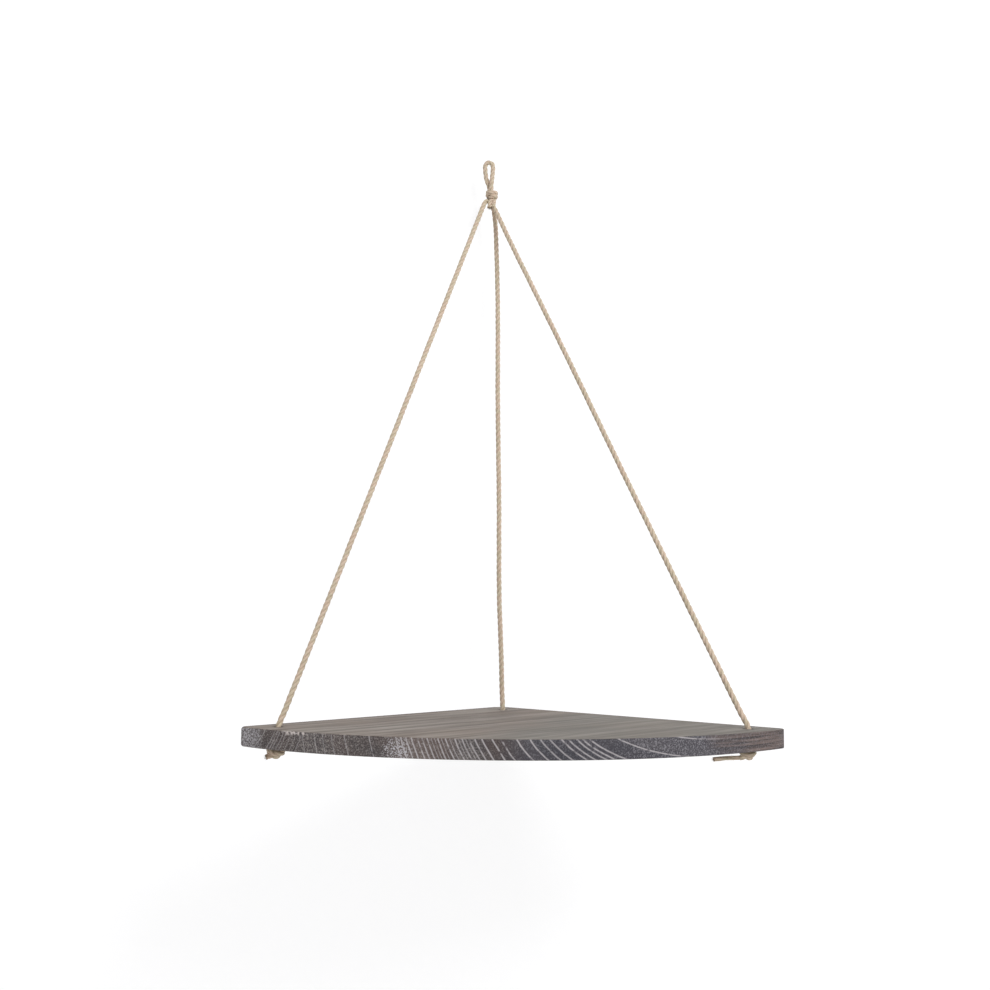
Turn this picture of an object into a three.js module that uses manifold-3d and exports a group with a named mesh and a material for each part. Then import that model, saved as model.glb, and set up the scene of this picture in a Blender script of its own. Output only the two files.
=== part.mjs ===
// Corner shelf hung on three ropes: a quarter-round board, a hanging loop, a top knot and three legs.
// Millimetres, +Z up, the curved front edge faces -Y and +X is to the right.
// The origin is the inside of the loop's top, where the hook bears.
import * as THREE from 'three';
import { mergeVertices } from 'three/addons/utils/BufferGeometryUtils.js';
import Module from 'manifold-3d';

const wasm = await Module();
wasm.setup();

// Driving dimensions of the board
const boardRadius = 400;
const boardThickness = 20;
const tipRadius = 7;
const backCornerRadius = 16;
const boardEdgeEase = 1;
const boardArcSegments = 24;

// Where the board hangs under the loop
const loopToBoardTop = 697;
const boardCornerX = 21;
const boardCornerY = 12;

// Holes: the side holes by their distance from the straight edge and from the curved edge
const holeDiameter = 10;
const sideHoleFromStraightEdge = 31;
const sideHoleFromCurvedEdge = 25.5;
const backHoleFromCorner = 53;

// Rope: pulled tight in a knot, it is a little thinner than elsewhere
const ropeDiameter = 6;
const knotRopeDiameter = 5.5;
const ropeSides = 8;
const legSteps = 64;
const loopSteps = 40;
const tailSteps = 10;

// Top knot: a ball-shaped space round the point where the ropes bend
const knotX = 3.5;
const knotBelowLoop = 46;
const knotSpaceRadius = 14.2;
const knotRunningGap = 0.4;
const knotSphereSegments = 24;
const upperCoreRadius = 5.2;
const upperCoreHeight = 11;
const upperWrapRadius = 5.6;
const upperWrapPitch = 6.1;
const upperWrapTurns = 1.6;
const upperWrapMiddle = 5.8;
const lowerCoreRadius = 4.6;
const lowerCoreDepth = 10.5;

// Stop knots under the board
const stopSeatGap = 0.3;
const rockingSeatGap = 0.6;
const stopCoreRadius = 6.8;
const stopKnotHeight = 12.4;
const leftStopWrapRadius = 5.9;
const rightStopWrapRadius = 7.3;
const backStopWrapRadius = 6.4;
const stopWrapPitch = 2.4;
const stopWrapTurns = 0.72;
const stopWrapDepth = 6.2;
const stopWrapTiltDegrees = 14;

// Shared making values
const wrapStepsPerTurn = 24;
const wrapSides = 6;
const coreSegments = 16;
const coreRoundSteps = 3;
const coreRoundShare = 0.5;
const touchGap = 0.3;
const overrun = 5;
const knotEndShare = 0.16;
const separateRunShare = 2.2;

// Places that follow from the driving dimensions
const boardTop = -loopToBoardTop;
const boardBottom = boardTop - boardThickness;
const ropeRadius = ropeDiameter / 2;
const knotRopeRadius = knotRopeDiameter / 2;
const knotCentre = new THREE.Vector3(knotX, 0, -knotBelowLoop);
const halfSeat = touchGap / 2;
const seatGaps = { left: rockingSeatGap, back: stopSeatGap, right: rockingSeatGap };
const stopWrapRadii = { left: leftStopWrapRadius, back: backStopWrapRadius, right: rightStopWrapRadius };
const stopWrapPhases = { left: Math.PI, back: 0, right: 0 };

const sideHoleRing = boardRadius - sideHoleFromCurvedEdge;
const sideHoleTurn = Math.asin(sideHoleFromStraightEdge / sideHoleRing);
const sideHoleAngle = Math.PI / 4 - sideHoleTurn;
const sideHoleX = sideHoleRing * Math.sin(sideHoleAngle);
const sideHoleY = -sideHoleRing * Math.cos(sideHoleAngle);
const holes = {
  left: new THREE.Vector2(boardCornerX - sideHoleX, boardCornerY + sideHoleY),
  right: new THREE.Vector2(boardCornerX + sideHoleX, boardCornerY + sideHoleY),
  back: new THREE.Vector2(boardCornerX, boardCornerY - backHoleFromCorner),
};

// Route of the loop's rope: up the front strand, round the eye and down the strand behind
const loopRoute = [
  [3.0, -3.1, -41], [2.8, -3.1, -34], [3.0, -3.1, -27.5], [3.9, -2.3, -20], [4.7, -1, -12],
  [5.1, -0.2, -5.5], [4.9, 0, -1.4], [3.3, 0, 1.7], [0, 0, 3], [-3.3, 0, 1.7], [-4.9, 0, -1.4],
  [-5.1, 0.2, -5.5], [-4.4, 1, -12], [-3.1, 2.3, -19], [-0.4, 3.1, -25.5], [1.1, 3.1, -31],
  [2.2, 3.1, -41],
];

// Where each leg leaves the knot, from the middle of the knot outwards
const legStarts = {
  left: [[-1, 0.5, -3.4], [-4.2, 0.2, -2.4], [-6.9, -1, -3], [-8.8, -2.6, -6.2], [-10.9, -4.7, -11.5]],
  back: [[0, 1, -6], [2.2, 2.6, -10], [3.1, 3, -13]],
  right: [[0.5, -1, -6], [2.0, -2.4, -9.4], [3.6, -4.5, -12.8]],
};

// The two cut ends that stick out under the top knot, counted from the middle of the knot
const knotEndRoutes = [
  [[1.2, -1.5, 1], [-0.9, -3.4, -2.5], [-2.1, -4.2, -7], [-2.7, -4.4, -11.6]],
  [[2.4, -1.5, 1], [3.1, -3.2, -2.5], [2.6, -4.2, -7], [2.0, -4.6, -11.2]],
];

// Places along each leg's run from the knot to its hole, and how far the rope strays sideways there
const legRuns = {
  left: [[0.08, 0], [0.3, 0], [0.6, 0], [0.85, 0], [0.97, 0]],
  back: [[0.03, 1.9], [0.08, 2.7], [0.2, 3.1], [0.4, 0.9], [0.6, 0.1], [0.78, -1.7], [0.9, -0.6], [0.97, -0.4]],
  right: [[0.08, -0.6], [0.3, 0.1], [0.6, -0.4], [0.85, -0.2], [0.97, 0]],
};

// Cut tails, each from inside its stop knot to its end, counted from the hole at the board's underside
const tailRoutes = {
  left: [[-4, 0, -4.4], [-8.6, -1.4, -7.8], [-13.4, -2.4, -10.9]],
  back: [[3, -2, -4.6], [8.5, -6, -8.4], [15, -10.5, -11.2]],
  right: [[-4, 0, -6], [-14, -1.6, -7.9], [-25, -2.4, -9.4], [-37.6, -3.6, -11.2]],
};

// Materials
function cloudyWood() {
  return new THREE.MeshStandardMaterial({ color: 0x6f6660, roughness: 0.78, metalness: 0 });
}

function naturalRope(shade) {
  return new THREE.MeshStandardMaterial({ color: shade, roughness: 0.92, metalness: 0 });
}

const ropeShade = 0xb8a68c;
const knotShade = 0xae9b80;

// Solids
function toSolid(geometry) {
  const bare = geometry.clone();
  bare.deleteAttribute('normal');
  bare.deleteAttribute('uv');
  const merged = mergeVertices(bare);
  return new wasm.Manifold(new wasm.Mesh({
    numProp: 3,
    vertProperties: new Float32Array(merged.attributes.position.array),
    triVerts: new Uint32Array(merged.index.array),
  }));
}

function toGeometry(solid) {
  const mesh = solid.getMesh();
  const geometry = new THREE.BufferGeometry();
  geometry.setAttribute('position', new THREE.BufferAttribute(mesh.vertProperties, 3));
  geometry.setIndex(new THREE.BufferAttribute(mesh.triVerts, 1));
  geometry.computeVertexNormals();
  return geometry;
}

function vectors(points) {
  return points.map(([x, y, z]) => new THREE.Vector3(x, y, z));
}

function roundSection(radius, sides) {
  const section = new THREE.Shape();
  for (let i = 0; i < sides; i += 1) {
    const angle = (2 * Math.PI * i) / sides;
    const x = radius * Math.cos(angle);
    const y = radius * Math.sin(angle);
    if (i === 0) section.moveTo(x, y);
    else section.lineTo(x, y);
  }
  section.closePath();
  return section;
}

function tube(points, radius, sides, steps) {
  const path = new THREE.CatmullRomCurve3(points, false, 'centripetal');
  return toSolid(new THREE.ExtrudeGeometry(roundSection(radius, sides), { steps, extrudePath: path }));
}

function ball(centre, radius) {
  const geometry = new THREE.SphereGeometry(radius, knotSphereSegments, knotSphereSegments / 2);
  geometry.translate(centre.x, centre.y, centre.z);
  return toSolid(geometry);
}

// A rounded barrel on a vertical axis, between two heights
function barrel(radius, low, high) {
  const round = radius * coreRoundShare;
  const profile = new THREE.Path();
  profile.moveTo(0, low);
  profile.lineTo(radius - round, low);
  profile.absarc(radius - round, low + round, round, -Math.PI / 2, 0, false);
  profile.lineTo(radius, high - round);
  profile.absarc(radius - round, high - round, round, 0, Math.PI / 2, false);
  profile.lineTo(0, high);
  const geometry = new THREE.LatheGeometry(profile.getPoints(coreRoundSteps), coreSegments);
  geometry.rotateX(Math.PI / 2);
  return toSolid(geometry);
}

// The least gap that a rope's route leaves to itself, over all pairs of points more than a short run apart
function printLeastGap(name, points) {
  const along = [0];
  for (let i = 1; i < points.length; i += 1) along.push(along[i - 1] + points[i].distanceTo(points[i - 1]));
  let least = Infinity;
  for (let i = 0; i < points.length; i += 1) {
    for (let j = i + 1; j < points.length; j += 1) {
      const separate = along[j] - along[i] > knotRopeDiameter * separateRunShare;
      if (separate) least = Math.min(least, points[i].distanceTo(points[j]) - knotRopeDiameter);
    }
  }
  const found = Number.isFinite(least) ? `${least.toFixed(2)} mm` : 'none, it is too short to meet itself';
  console.log(`${name}: least gap to itself ${found}`);
}

// Turns of rope round a vertical axis, tilted about X by some degrees, with both ends drawn into the core
function winding(name, { radius, coreRadius, pitch, turns, middle, tiltDegrees = 0, phase = 0 }) {
  const endRadius = coreRadius - knotRopeRadius;
  const steps = Math.round(wrapStepsPerTurn * turns);
  const tilt = THREE.MathUtils.degToRad(tiltDegrees);
  const points = [];
  for (let i = 0; i <= steps; i += 1) {
    const share = i / steps;
    const angle = phase + 2 * Math.PI * turns * share;
    const inward = Math.min(1, share / knotEndShare, (1 - share) / knotEndShare);
    const reach = endRadius + (radius - endRadius) * Math.sin((Math.PI / 2) * inward);
    const height = pitch * turns * (share - 1 / 2);
    const x = reach * Math.cos(angle);
    const y = reach * Math.sin(angle);
    points.push(new THREE.Vector3(
      x,
      y * Math.cos(tilt) - height * Math.sin(tilt),
      middle + y * Math.sin(tilt) + height * Math.cos(tilt),
    ));
  }
  printLeastGap(name, points);
  return tube(points, knotRopeRadius, wrapSides, steps);
}

// Everything between two heights
function layer(low, high, centre) {
  const size = 2 * (knotSpaceRadius + overrun);
  const geometry = new THREE.BoxGeometry(size, size, high - low);
  geometry.translate(centre.x, centre.y, (low + high) / 2);
  return toSolid(geometry);
}

// Board: a quarter disc with its corner at the wall corner and its three corners rounded
function boardOutline() {
  const start = (-3 * Math.PI) / 4;
  const end = -Math.PI / 4;
  const tipRing = boardRadius - tipRadius;
  const tipTurn = Math.asin(tipRadius / tipRing);
  const cornerDrop = backCornerRadius * Math.SQRT2;
  const outline = new THREE.Shape();
  const leftTip = [tipRing * Math.cos(start + tipTurn), tipRing * Math.sin(start + tipTurn)];
  const rightTip = [tipRing * Math.cos(end - tipTurn), tipRing * Math.sin(end - tipTurn)];
  outline.absarc(leftTip[0], leftTip[1], tipRadius, start - Math.PI / 2, start + tipTurn, false);
  outline.absarc(0, 0, boardRadius, start + tipTurn, end - tipTurn, false);
  outline.absarc(rightTip[0], rightTip[1], tipRadius, end - tipTurn, end + Math.PI / 2, false);
  outline.absarc(0, -cornerDrop, backCornerRadius, Math.PI / 4, (3 * Math.PI) / 4, false);
  outline.closePath();
  return outline;
}

function shelfBoard() {
  const outline = boardOutline();
  for (const hole of Object.values(holes)) {
    const edge = new THREE.Path();
    edge.absarc(hole.x - boardCornerX, hole.y - boardCornerY, holeDiameter / 2, 0, 2 * Math.PI, true);
    outline.holes.push(edge);
  }
  const geometry = new THREE.ExtrudeGeometry(outline, {
    depth: boardThickness - 2 * boardEdgeEase,
    bevelEnabled: true,
    bevelThickness: boardEdgeEase,
    bevelSize: boardEdgeEase,
    bevelOffset: -boardEdgeEase,
    bevelSegments: 1,
    curveSegments: boardArcSegments,
  });
  geometry.translate(boardCornerX, boardCornerY, boardBottom + boardEdgeEase);
  return toSolid(geometry);
}

// A leg's route: out of the knot, along its run to the hole and straight down through the board
function legRoute(side) {
  const hole = holes[side];
  const seatGap = seatGaps[side];
  const points = vectors(legStarts[side]).map((point) => point.add(knotCentre));
  const exit = points[points.length - 1];
  const entry = new THREE.Vector3(hole.x, hole.y, boardTop);
  for (const [share, stray] of legRuns[side]) {
    const point = new THREE.Vector3().lerpVectors(exit, entry, share);
    points.push(point.setX(point.x + stray));
  }
  points.push(entry);
  for (const height of [boardBottom + ropeDiameter, boardBottom - seatGap + touchGap]) {
    points.push(new THREE.Vector3(hole.x, hole.y, height));
  }
  return points;
}

// The middle of a stop knot, and the ball-shaped space that its turns fill
function stopKnotCentre(side) {
  return new THREE.Vector3(holes[side].x, holes[side].y, boardBottom - stopKnotHeight / 2);
}

// A tail's whole rope, from inside its stop knot to the cut end
function tailRope(side) {
  const under = new THREE.Vector3(holes[side].x, holes[side].y, boardBottom);
  const route = vectors(tailRoutes[side]).map((point) => point.add(under));
  return tube(route, ropeRadius, ropeSides, tailSteps);
}

// A stop knot: a core, a tilted turn of rope round it and the tail's root, flat under the board
function stopKnot(side) {
  const hole = holes[side];
  const top = boardBottom - seatGaps[side];
  const core = barrel(stopCoreRadius, -stopKnotHeight, overrun);
  const wrap = winding(`${side}_stop_knot`, {
    radius: stopWrapRadii[side],
    coreRadius: stopCoreRadius,
    pitch: stopWrapPitch,
    turns: stopWrapTurns,
    middle: -stopWrapDepth,
    tiltDegrees: stopWrapTiltDegrees,
    phase: stopWrapPhases[side],
  });
  const root = tailRope(side).intersect(ball(stopKnotCentre(side), stopWrapRadii[side] + ropeRadius));
  const knot = core.add(wrap).translate([hole.x, hole.y, top]).add(root);
  return knot.intersect(layer(top - 2 * stopKnotHeight, top, hole));
}

function cutTail(side) {
  return tailRope(side).subtract(ball(stopKnotCentre(side), stopWrapRadii[side] + ropeRadius + knotRunningGap));
}

// Top knot
const loopRope = tube(vectors(loopRoute), ropeRadius, ropeSides, loopSteps);
const legRopes = Object.fromEntries(
  Object.keys(holes).map((side) => [side, tube(legRoute(side), ropeRadius, ropeSides, legSteps)]),
);
const knotSpace = ball(knotCentre, knotSpaceRadius);
const knotSpaceCleared = ball(knotCentre, knotSpaceRadius + knotRunningGap);

function upperKnot() {
  const low = knotCentre.z + halfSeat;
  const high = knotCentre.z + knotSpaceRadius + overrun;
  const wrap = winding('top_knot_upper', {
    radius: upperWrapRadius,
    coreRadius: upperCoreRadius,
    pitch: upperWrapPitch,
    turns: upperWrapTurns,
    middle: upperWrapMiddle,
    phase: Math.PI,
  });
  const core = barrel(upperCoreRadius, -overrun, upperCoreHeight);
  const knot = core.add(wrap).translate([knotCentre.x, knotCentre.y, knotCentre.z]);
  return knot.add(loopRope).intersect(knotSpace).intersect(layer(low, high, knotCentre));
}

function lowerKnot() {
  const low = knotCentre.z - knotSpaceRadius - overrun;
  const high = knotCentre.z - halfSeat;
  let knot = barrel(lowerCoreRadius, -lowerCoreDepth, overrun);
  for (const route of knotEndRoutes) knot = knot.add(tube(vectors(route), knotRopeRadius, ropeSides, tailSteps));
  knot = knot.translate([knotCentre.x, knotCentre.y, knotCentre.z]);
  for (const rope of Object.values(legRopes)) knot = knot.add(rope);
  return knot.intersect(knotSpace).intersect(layer(low, high, knotCentre));
}

// Assembly
const shelf = new THREE.Group();
shelf.name = 'hanging_rope_shelf';

function addPiece(name, solid, material) {
  const mesh = new THREE.Mesh(toGeometry(solid), material);
  mesh.name = name;
  shelf.add(mesh);
}

addPiece('shelf_board', shelfBoard(), cloudyWood());
addPiece('hanging_loop', loopRope.subtract(knotSpaceCleared), naturalRope(ropeShade));
addPiece('top_knot_upper', upperKnot(), naturalRope(knotShade));
addPiece('top_knot_lower', lowerKnot(), naturalRope(knotShade));

for (const side of Object.keys(holes)) {
  addPiece(`${side}_rope`, legRopes[side].subtract(knotSpaceCleared), naturalRope(ropeShade));
  addPiece(`${side}_stop_knot`, stopKnot(side), naturalRope(knotShade));
  addPiece(`${side}_rope_tail`, cutTail(side), naturalRope(ropeShade));
}

export default shelf;
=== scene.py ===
# %% [markdown]
# A corner shelf hung on ropes. The imported CAD model is the fixed frame: it says where every piece is.
# This script gives each piece its looks. Everything is in metres, +Z is up and the curved front edge
# of the board faces -Y. The origin is the inside of the loop's top, where a wall hook bears.
# The box round the CAD model is kept from the start, so the last cell can print it beside the
# box round the finished pieces.

import bpy
import numpy as np
from mathutils import Matrix, Vector
from mathutils.geometry import delaunay_2d_cdt


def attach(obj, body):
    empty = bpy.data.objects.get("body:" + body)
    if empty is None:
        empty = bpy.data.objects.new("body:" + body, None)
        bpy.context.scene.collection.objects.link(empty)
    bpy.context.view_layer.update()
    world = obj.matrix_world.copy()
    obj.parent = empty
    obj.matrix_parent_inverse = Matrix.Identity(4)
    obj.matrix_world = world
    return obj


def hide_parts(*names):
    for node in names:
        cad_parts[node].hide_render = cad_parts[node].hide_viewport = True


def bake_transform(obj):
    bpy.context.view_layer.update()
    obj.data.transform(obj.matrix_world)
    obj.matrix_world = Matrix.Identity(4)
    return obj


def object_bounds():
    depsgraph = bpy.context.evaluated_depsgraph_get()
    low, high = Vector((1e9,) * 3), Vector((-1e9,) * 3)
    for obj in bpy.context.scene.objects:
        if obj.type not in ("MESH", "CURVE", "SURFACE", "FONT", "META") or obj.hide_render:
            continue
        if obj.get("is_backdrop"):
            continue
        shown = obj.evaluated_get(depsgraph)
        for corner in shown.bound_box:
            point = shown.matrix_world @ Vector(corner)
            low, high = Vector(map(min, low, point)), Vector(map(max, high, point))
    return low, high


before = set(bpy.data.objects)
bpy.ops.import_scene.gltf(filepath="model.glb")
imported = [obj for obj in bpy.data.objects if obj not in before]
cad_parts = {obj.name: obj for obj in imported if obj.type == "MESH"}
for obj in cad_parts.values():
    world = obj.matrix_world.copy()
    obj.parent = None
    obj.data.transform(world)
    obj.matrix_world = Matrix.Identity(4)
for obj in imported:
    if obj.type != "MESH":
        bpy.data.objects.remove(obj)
cad_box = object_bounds()
MM = 0.001

# %% [markdown]
# The camera stands where the photographer stood: a little left of the middle and a little above the
# board, looking slightly up. A turn, a tilt and a small roll give its three directions. Blender's
# camera looks along its own -Z, so these directions go straight into a matrix. The lens comes from
# the focal length in pixels of the 990 pixel picture, on a 36 mm sensor.

# %% Camera
PICTURE_WIDTH = 990
SENSOR_WIDTH_MM = 36.0
FOCAL_PIXELS = 1234.12
CAMERA_PLACE = (-0.06712, -1.55639, -0.57859)
CAMERA_TURN = 0.050423
CAMERA_TILT = 0.094397
CAMERA_ROLL = 0.0087526


def camera_directions(turn, tilt, roll):
    """Right, up and forward: right is +X turned, forward is +Y turned and tilted, and the roll turns
    right and up about forward."""
    right = np.array([np.cos(turn), -np.sin(turn), 0.0])
    forward = np.array([np.sin(turn) * np.cos(tilt), np.cos(turn) * np.cos(tilt), np.sin(tilt)])
    up = np.cross(right, forward)
    return (np.cos(roll) * right + np.sin(roll) * up,
            np.cos(roll) * up - np.sin(roll) * right,
            forward)


right, up, forward = camera_directions(CAMERA_TURN, CAMERA_TILT, CAMERA_ROLL)
camera_data = bpy.data.cameras.new("photo_camera")
camera_data.sensor_width = SENSOR_WIDTH_MM
camera_data.lens = FOCAL_PIXELS / PICTURE_WIDTH * SENSOR_WIDTH_MM
camera = bpy.data.objects.new("photo_camera", camera_data)
bpy.context.scene.collection.objects.link(camera)
placing = Matrix.Identity(4)
for row in range(3):
    placing[row][0], placing[row][1] = right[row], up[row]
    placing[row][2], placing[row][3] = -forward[row], CAMERA_PLACE[row]
camera.matrix_world = placing
bpy.context.scene.camera = camera
print("lens %.1f mm" % camera_data.lens)

# %% [markdown]
# Every rope starts as a route: a few given points, with a smooth curve through them. The
# curve is the centripetal Catmull-Rom spline, which never overshoots between two near points. It is
# sampled finely and then walked in equal steps, so that the twist of the rope stays even.
# To lay strands round a route, each step needs two side directions that don't spin by themselves.
# They start from a fixed direction, and the spin that this adds is measured and taken off again.

# %% Routes
ROUTE_DETAIL = 40


def smooth_route(points, step):
    """A centripetal Catmull-Rom curve through the points, walked in equal steps of about the given
    length. Between two points, each knot time grows by the root of the distance, and the curve is
    the cubic with the spline's tangents at both ends."""
    points = np.asarray(points, float)
    ends = (2 * points[0] - points[1], 2 * points[-1] - points[-2])
    p = np.concatenate([[ends[0]], points, [ends[1]]])
    gap = np.sqrt(np.linalg.norm(np.diff(p, axis=0), axis=1))[:, None]
    slope = np.diff(p, axis=0) / gap
    tangent = slope[:-1] - (p[2:] - p[:-2]) / (gap[:-1] + gap[1:]) + slope[1:]
    start, finish = p[1:-2], p[2:-1]
    leave, arrive = tangent[:-1] * gap[1:-1], tangent[1:] * gap[1:-1]
    t = np.linspace(0, 1, ROUTE_DETAIL, endpoint=False)[None, :, None]
    curve = ((2 * t**3 - 3 * t**2 + 1) * start[:, None] + (t**3 - 2 * t**2 + t) * leave[:, None]
             + (3 * t**2 - 2 * t**3) * finish[:, None] + (t**3 - t**2) * arrive[:, None])
    curve = np.concatenate([curve.reshape(-1, 3), points[-1:]])
    return even_steps(curve, step)


def distance_along(line):
    """For each point of a line, the sum of the steps up to it."""
    return np.concatenate([[0], np.cumsum(np.linalg.norm(np.diff(line, axis=0), axis=1))])


def route_length(route):
    """The sum of the steps."""
    return float(np.linalg.norm(np.diff(route, axis=0), axis=1).sum())


def in_points(line, count):
    """The same line as so many points with equal steps, looked up by the distance along it."""
    along = distance_along(line)
    places = np.linspace(0, along[-1], count)
    return np.stack([np.interp(places, along, line[:, axis]) for axis in range(3)], axis=1)


def even_steps(line, step):
    """The same line walked in equal steps of about the given length."""
    return in_points(line, max(2, int(round(distance_along(line)[-1] / step)) + 1))


def unit(vectors):
    """Each row divided by its length."""
    return vectors / np.linalg.norm(vectors, axis=-1, keepdims=True)


def side_directions(route):
    """For each step: forward along the route, and two side directions that don't spin about it.
    The first side is forward crossed with the fixed direction that stays farthest from it. The spin
    from one step to the next is an angle about forward, and the sum of the angles is turned back."""
    ahead = unit(np.gradient(route, axis=0))
    turns = np.linspace(0, np.pi, 24, endpoint=False)
    heights = np.linspace(-0.9, 0.9, 13)
    turn, height = np.meshgrid(turns, heights)
    flat = np.sqrt(1 - height**2)
    choices = np.stack([flat * np.cos(turn), flat * np.sin(turn), height], axis=-1).reshape(-1, 3)
    clear = np.linalg.norm(np.cross(ahead[:, None], choices[None]), axis=-1).min(axis=0)
    side = unit(np.cross(ahead, choices[clear.argmax()]))
    carried = side[:-1] - (side[:-1] * ahead[1:]).sum(1, keepdims=True) * ahead[1:]
    spin = np.arctan2((np.cross(carried, side[1:]) * ahead[1:]).sum(1), (carried * side[1:]).sum(1))
    spin = np.concatenate([[0], np.cumsum(spin)])[:, None]
    over = np.cross(ahead, side)
    first = side * np.cos(spin) - over * np.sin(spin)
    return ahead, first, np.cross(ahead, first)


bend = smooth_route([[0, 0, 0], [10, 0, 0], [10, 10, 0]], step=0.5)
print("a smooth bend through three corners of a square of 10: %.1f long" % route_length(bend))

# %% [markdown]
# The rope is laid: three strands of spun natural fibre wind round each other like a screw. A real
# strand is squeezed by its neighbours, so each strand here is a tube a bit fatter than it would be
# if the three only touched, and they sink into each other in the middle, where nobody looks.
# The mesh is a grid: one parameter runs along the rope, the other round each strand. The UV map
# keeps both, in metres along and in turns around, for the fibres in the rope's material.

# %% Laid rope
ROPE_DIAMETER = 6.0 * MM
KNOT_ROPE_DIAMETER = 5.6 * MM
FULLNESS = 1.04
STRANDS = 3
STRAND_RADIUS_SHARE = 0.315
STRAND_PITCH = 23.0 * MM
STRAND_SIDES = 12
ROPE_STEP = 0.9 * MM
LONG_SWELL, LONG_SWELL_LENGTH = 0.035, 7.3 * MM
SHORT_SWELL, SHORT_SWELL_LENGTH = 0.02, 2.9 * MM
SPREAD_LENGTH = 6.0 * MM
CUT_LENGTH = 1.4 * MM
CUT_MARK = 10


def new_piece(name, vertices, faces, uv=None):
    """A mesh object from whole arrays of corners and faces, with smooth shading. Faces are a list of
    arrays, each with the corners of faces with one number of sides."""
    mesh = bpy.data.meshes.new(name)
    mesh.vertices.add(len(vertices))
    mesh.vertices.foreach_set("co", np.asarray(vertices, np.float32).ravel())
    sizes = np.concatenate([np.full(len(block), block.shape[1]) for block in faces])
    corners = np.concatenate([block.ravel() for block in faces])
    mesh.loops.add(len(corners))
    mesh.loops.foreach_set("vertex_index", corners.astype(np.int32))
    mesh.polygons.add(len(sizes))
    starts = np.concatenate([[0], np.cumsum(sizes)[:-1]])
    mesh.polygons.foreach_set("loop_start", starts.astype(np.int32))
    mesh.polygons.foreach_set("use_smooth", np.ones(len(sizes), bool))
    if uv is not None:
        layer = mesh.uv_layers.new(name="UVMap")
        flat_uv = np.concatenate([block.reshape(-1, 2) for block in uv])
        layer.uv.foreach_set("vector", flat_uv.astype(np.float32).ravel())
    mesh.update(calc_edges=True)
    mesh.validate()
    piece = bpy.data.objects.new(name, mesh)
    bpy.context.scene.collection.objects.link(piece)
    return piece


def ring_quads(rings, sides):
    """The faces between closed rings, each with four corners. A ring's corners follow each other, so
    the corner above another one has a number that is greater by the number of sides."""
    ring, side = np.meshgrid(np.arange(rings - 1), np.arange(sides), indexing="ij")
    here, there = ring * sides + side, ring * sides + (side + 1) % sides
    return np.stack([here, there, there + sides, here + sides], axis=-1).reshape(-1, 4)


def tube_grid(first_corner, around, along):
    """Faces and UV of a closed tube, from its UV coordinates around and along. The side faces join
    each ring to the next; each end is one fan round a middle corner."""
    rings, sides = len(along), len(around) - 1
    quads = ring_quads(rings, sides)
    (u0, v0), (u1, v1) = np.meshgrid(around[:-1], along[:-1]), np.meshgrid(around[1:], along[1:])
    quad_uv = np.stack([u0, v0, u1, v0, u1, v1, u0, v1], axis=-1).reshape(-1, 4, 2)
    rim = np.arange(sides)
    nearer, farther = rings * sides, rings * sides + 1
    last = (rings - 1) * sides
    start_fan = np.stack([np.full(sides, nearer), (rim + 1) % sides, rim], axis=1)
    end_fan = np.stack([np.full(sides, farther), last + rim, last + (rim + 1) % sides], axis=1)
    fan_u = np.stack([around[rim], around[rim + 1], around[rim]], axis=1)
    start_uv = np.stack([fan_u, np.full_like(fan_u, along[0])], axis=-1)
    end_uv = np.stack([fan_u, np.full_like(fan_u, along[-1])], axis=-1)
    triangles = np.concatenate([start_fan, end_fan])
    return quads + first_corner, triangles + first_corner, quad_uv, np.concatenate([start_uv, end_uv])


def laid_strands(route, pitch=STRAND_PITCH, diameter=ROPE_DIAMETER, open_end=0.0, rows=slice(None)):
    """Corners, faces and UV of three strands along a route. Strand k's middle stands off the route by
    the rope's radius less its own, at the angle 2 pi (distance / pitch + k / 3). Its section is a
    circle of its own radius, which swells and thins a little along the way. With open_end above
    zero, the strands spread over the last few millimetres, as they do at a cut end, and the UV of
    the cut itself is moved by a whole number of turns, which marks it for the rope's material. Rows
    picks the stretch of the route that is made, so that two pieces can share one rope's lay."""
    ahead, first, second = side_directions(route)
    along = distance_along(route)
    diameter = diameter * FULLNESS
    radius = diameter * STRAND_RADIUS_SHARE
    to_end = np.clip(1 - (along[-1] - along) / SPREAD_LENGTH, 0, 1)
    stand_off = (diameter / 2 - radius) * (1 + open_end * to_end**2)
    around = np.linspace(0, 1, STRAND_SIDES + 1)
    angle = 2 * np.pi * around[:-1]
    corners, quads, triangles, quad_uv, triangle_uv = [], [], [], [], []
    for strand in range(STRANDS):
        turn = 2 * np.pi * (along / pitch + strand / STRANDS)
        swell = (1 + LONG_SWELL * np.sin(along / LONG_SWELL_LENGTH + 2.1 * strand)
                 + SHORT_SWELL * np.sin(along / SHORT_SWELL_LENGTH + strand))
        out = np.cos(turn)[:, None] * first + np.sin(turn)[:, None] * second
        across = np.cross(ahead, out)
        middle = route + stand_off[:, None] * out
        ring = (np.cos(angle)[None, :, None] * out[:, None] + np.sin(angle)[None, :, None] * across[:, None])
        tube = (middle[:, None] + (radius * swell)[:, None, None] * ring)[rows]
        middle = middle[rows]
        made = tube_grid(sum(map(len, corners)), around, along[rows])
        corners.append(np.concatenate([tube.reshape(-1, 3), middle[:1], middle[-1:]]))
        quads.append(made[0])
        triangles.append(made[1])
        for made_uv, kept in ((made[2], quad_uv), (made[3], triangle_uv)):
            cut = (open_end > 0) & (made_uv[:, :, 1].mean(axis=1) > along[-1] - CUT_LENGTH)
            mark = np.stack([strand + CUT_MARK * cut, np.zeros(len(cut))], axis=1)
            kept.append(made_uv + mark[:, None])
    return (np.concatenate(corners), [np.concatenate(quads), np.concatenate(triangles)],
            [np.concatenate(quad_uv), np.concatenate(triangle_uv)])


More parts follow.
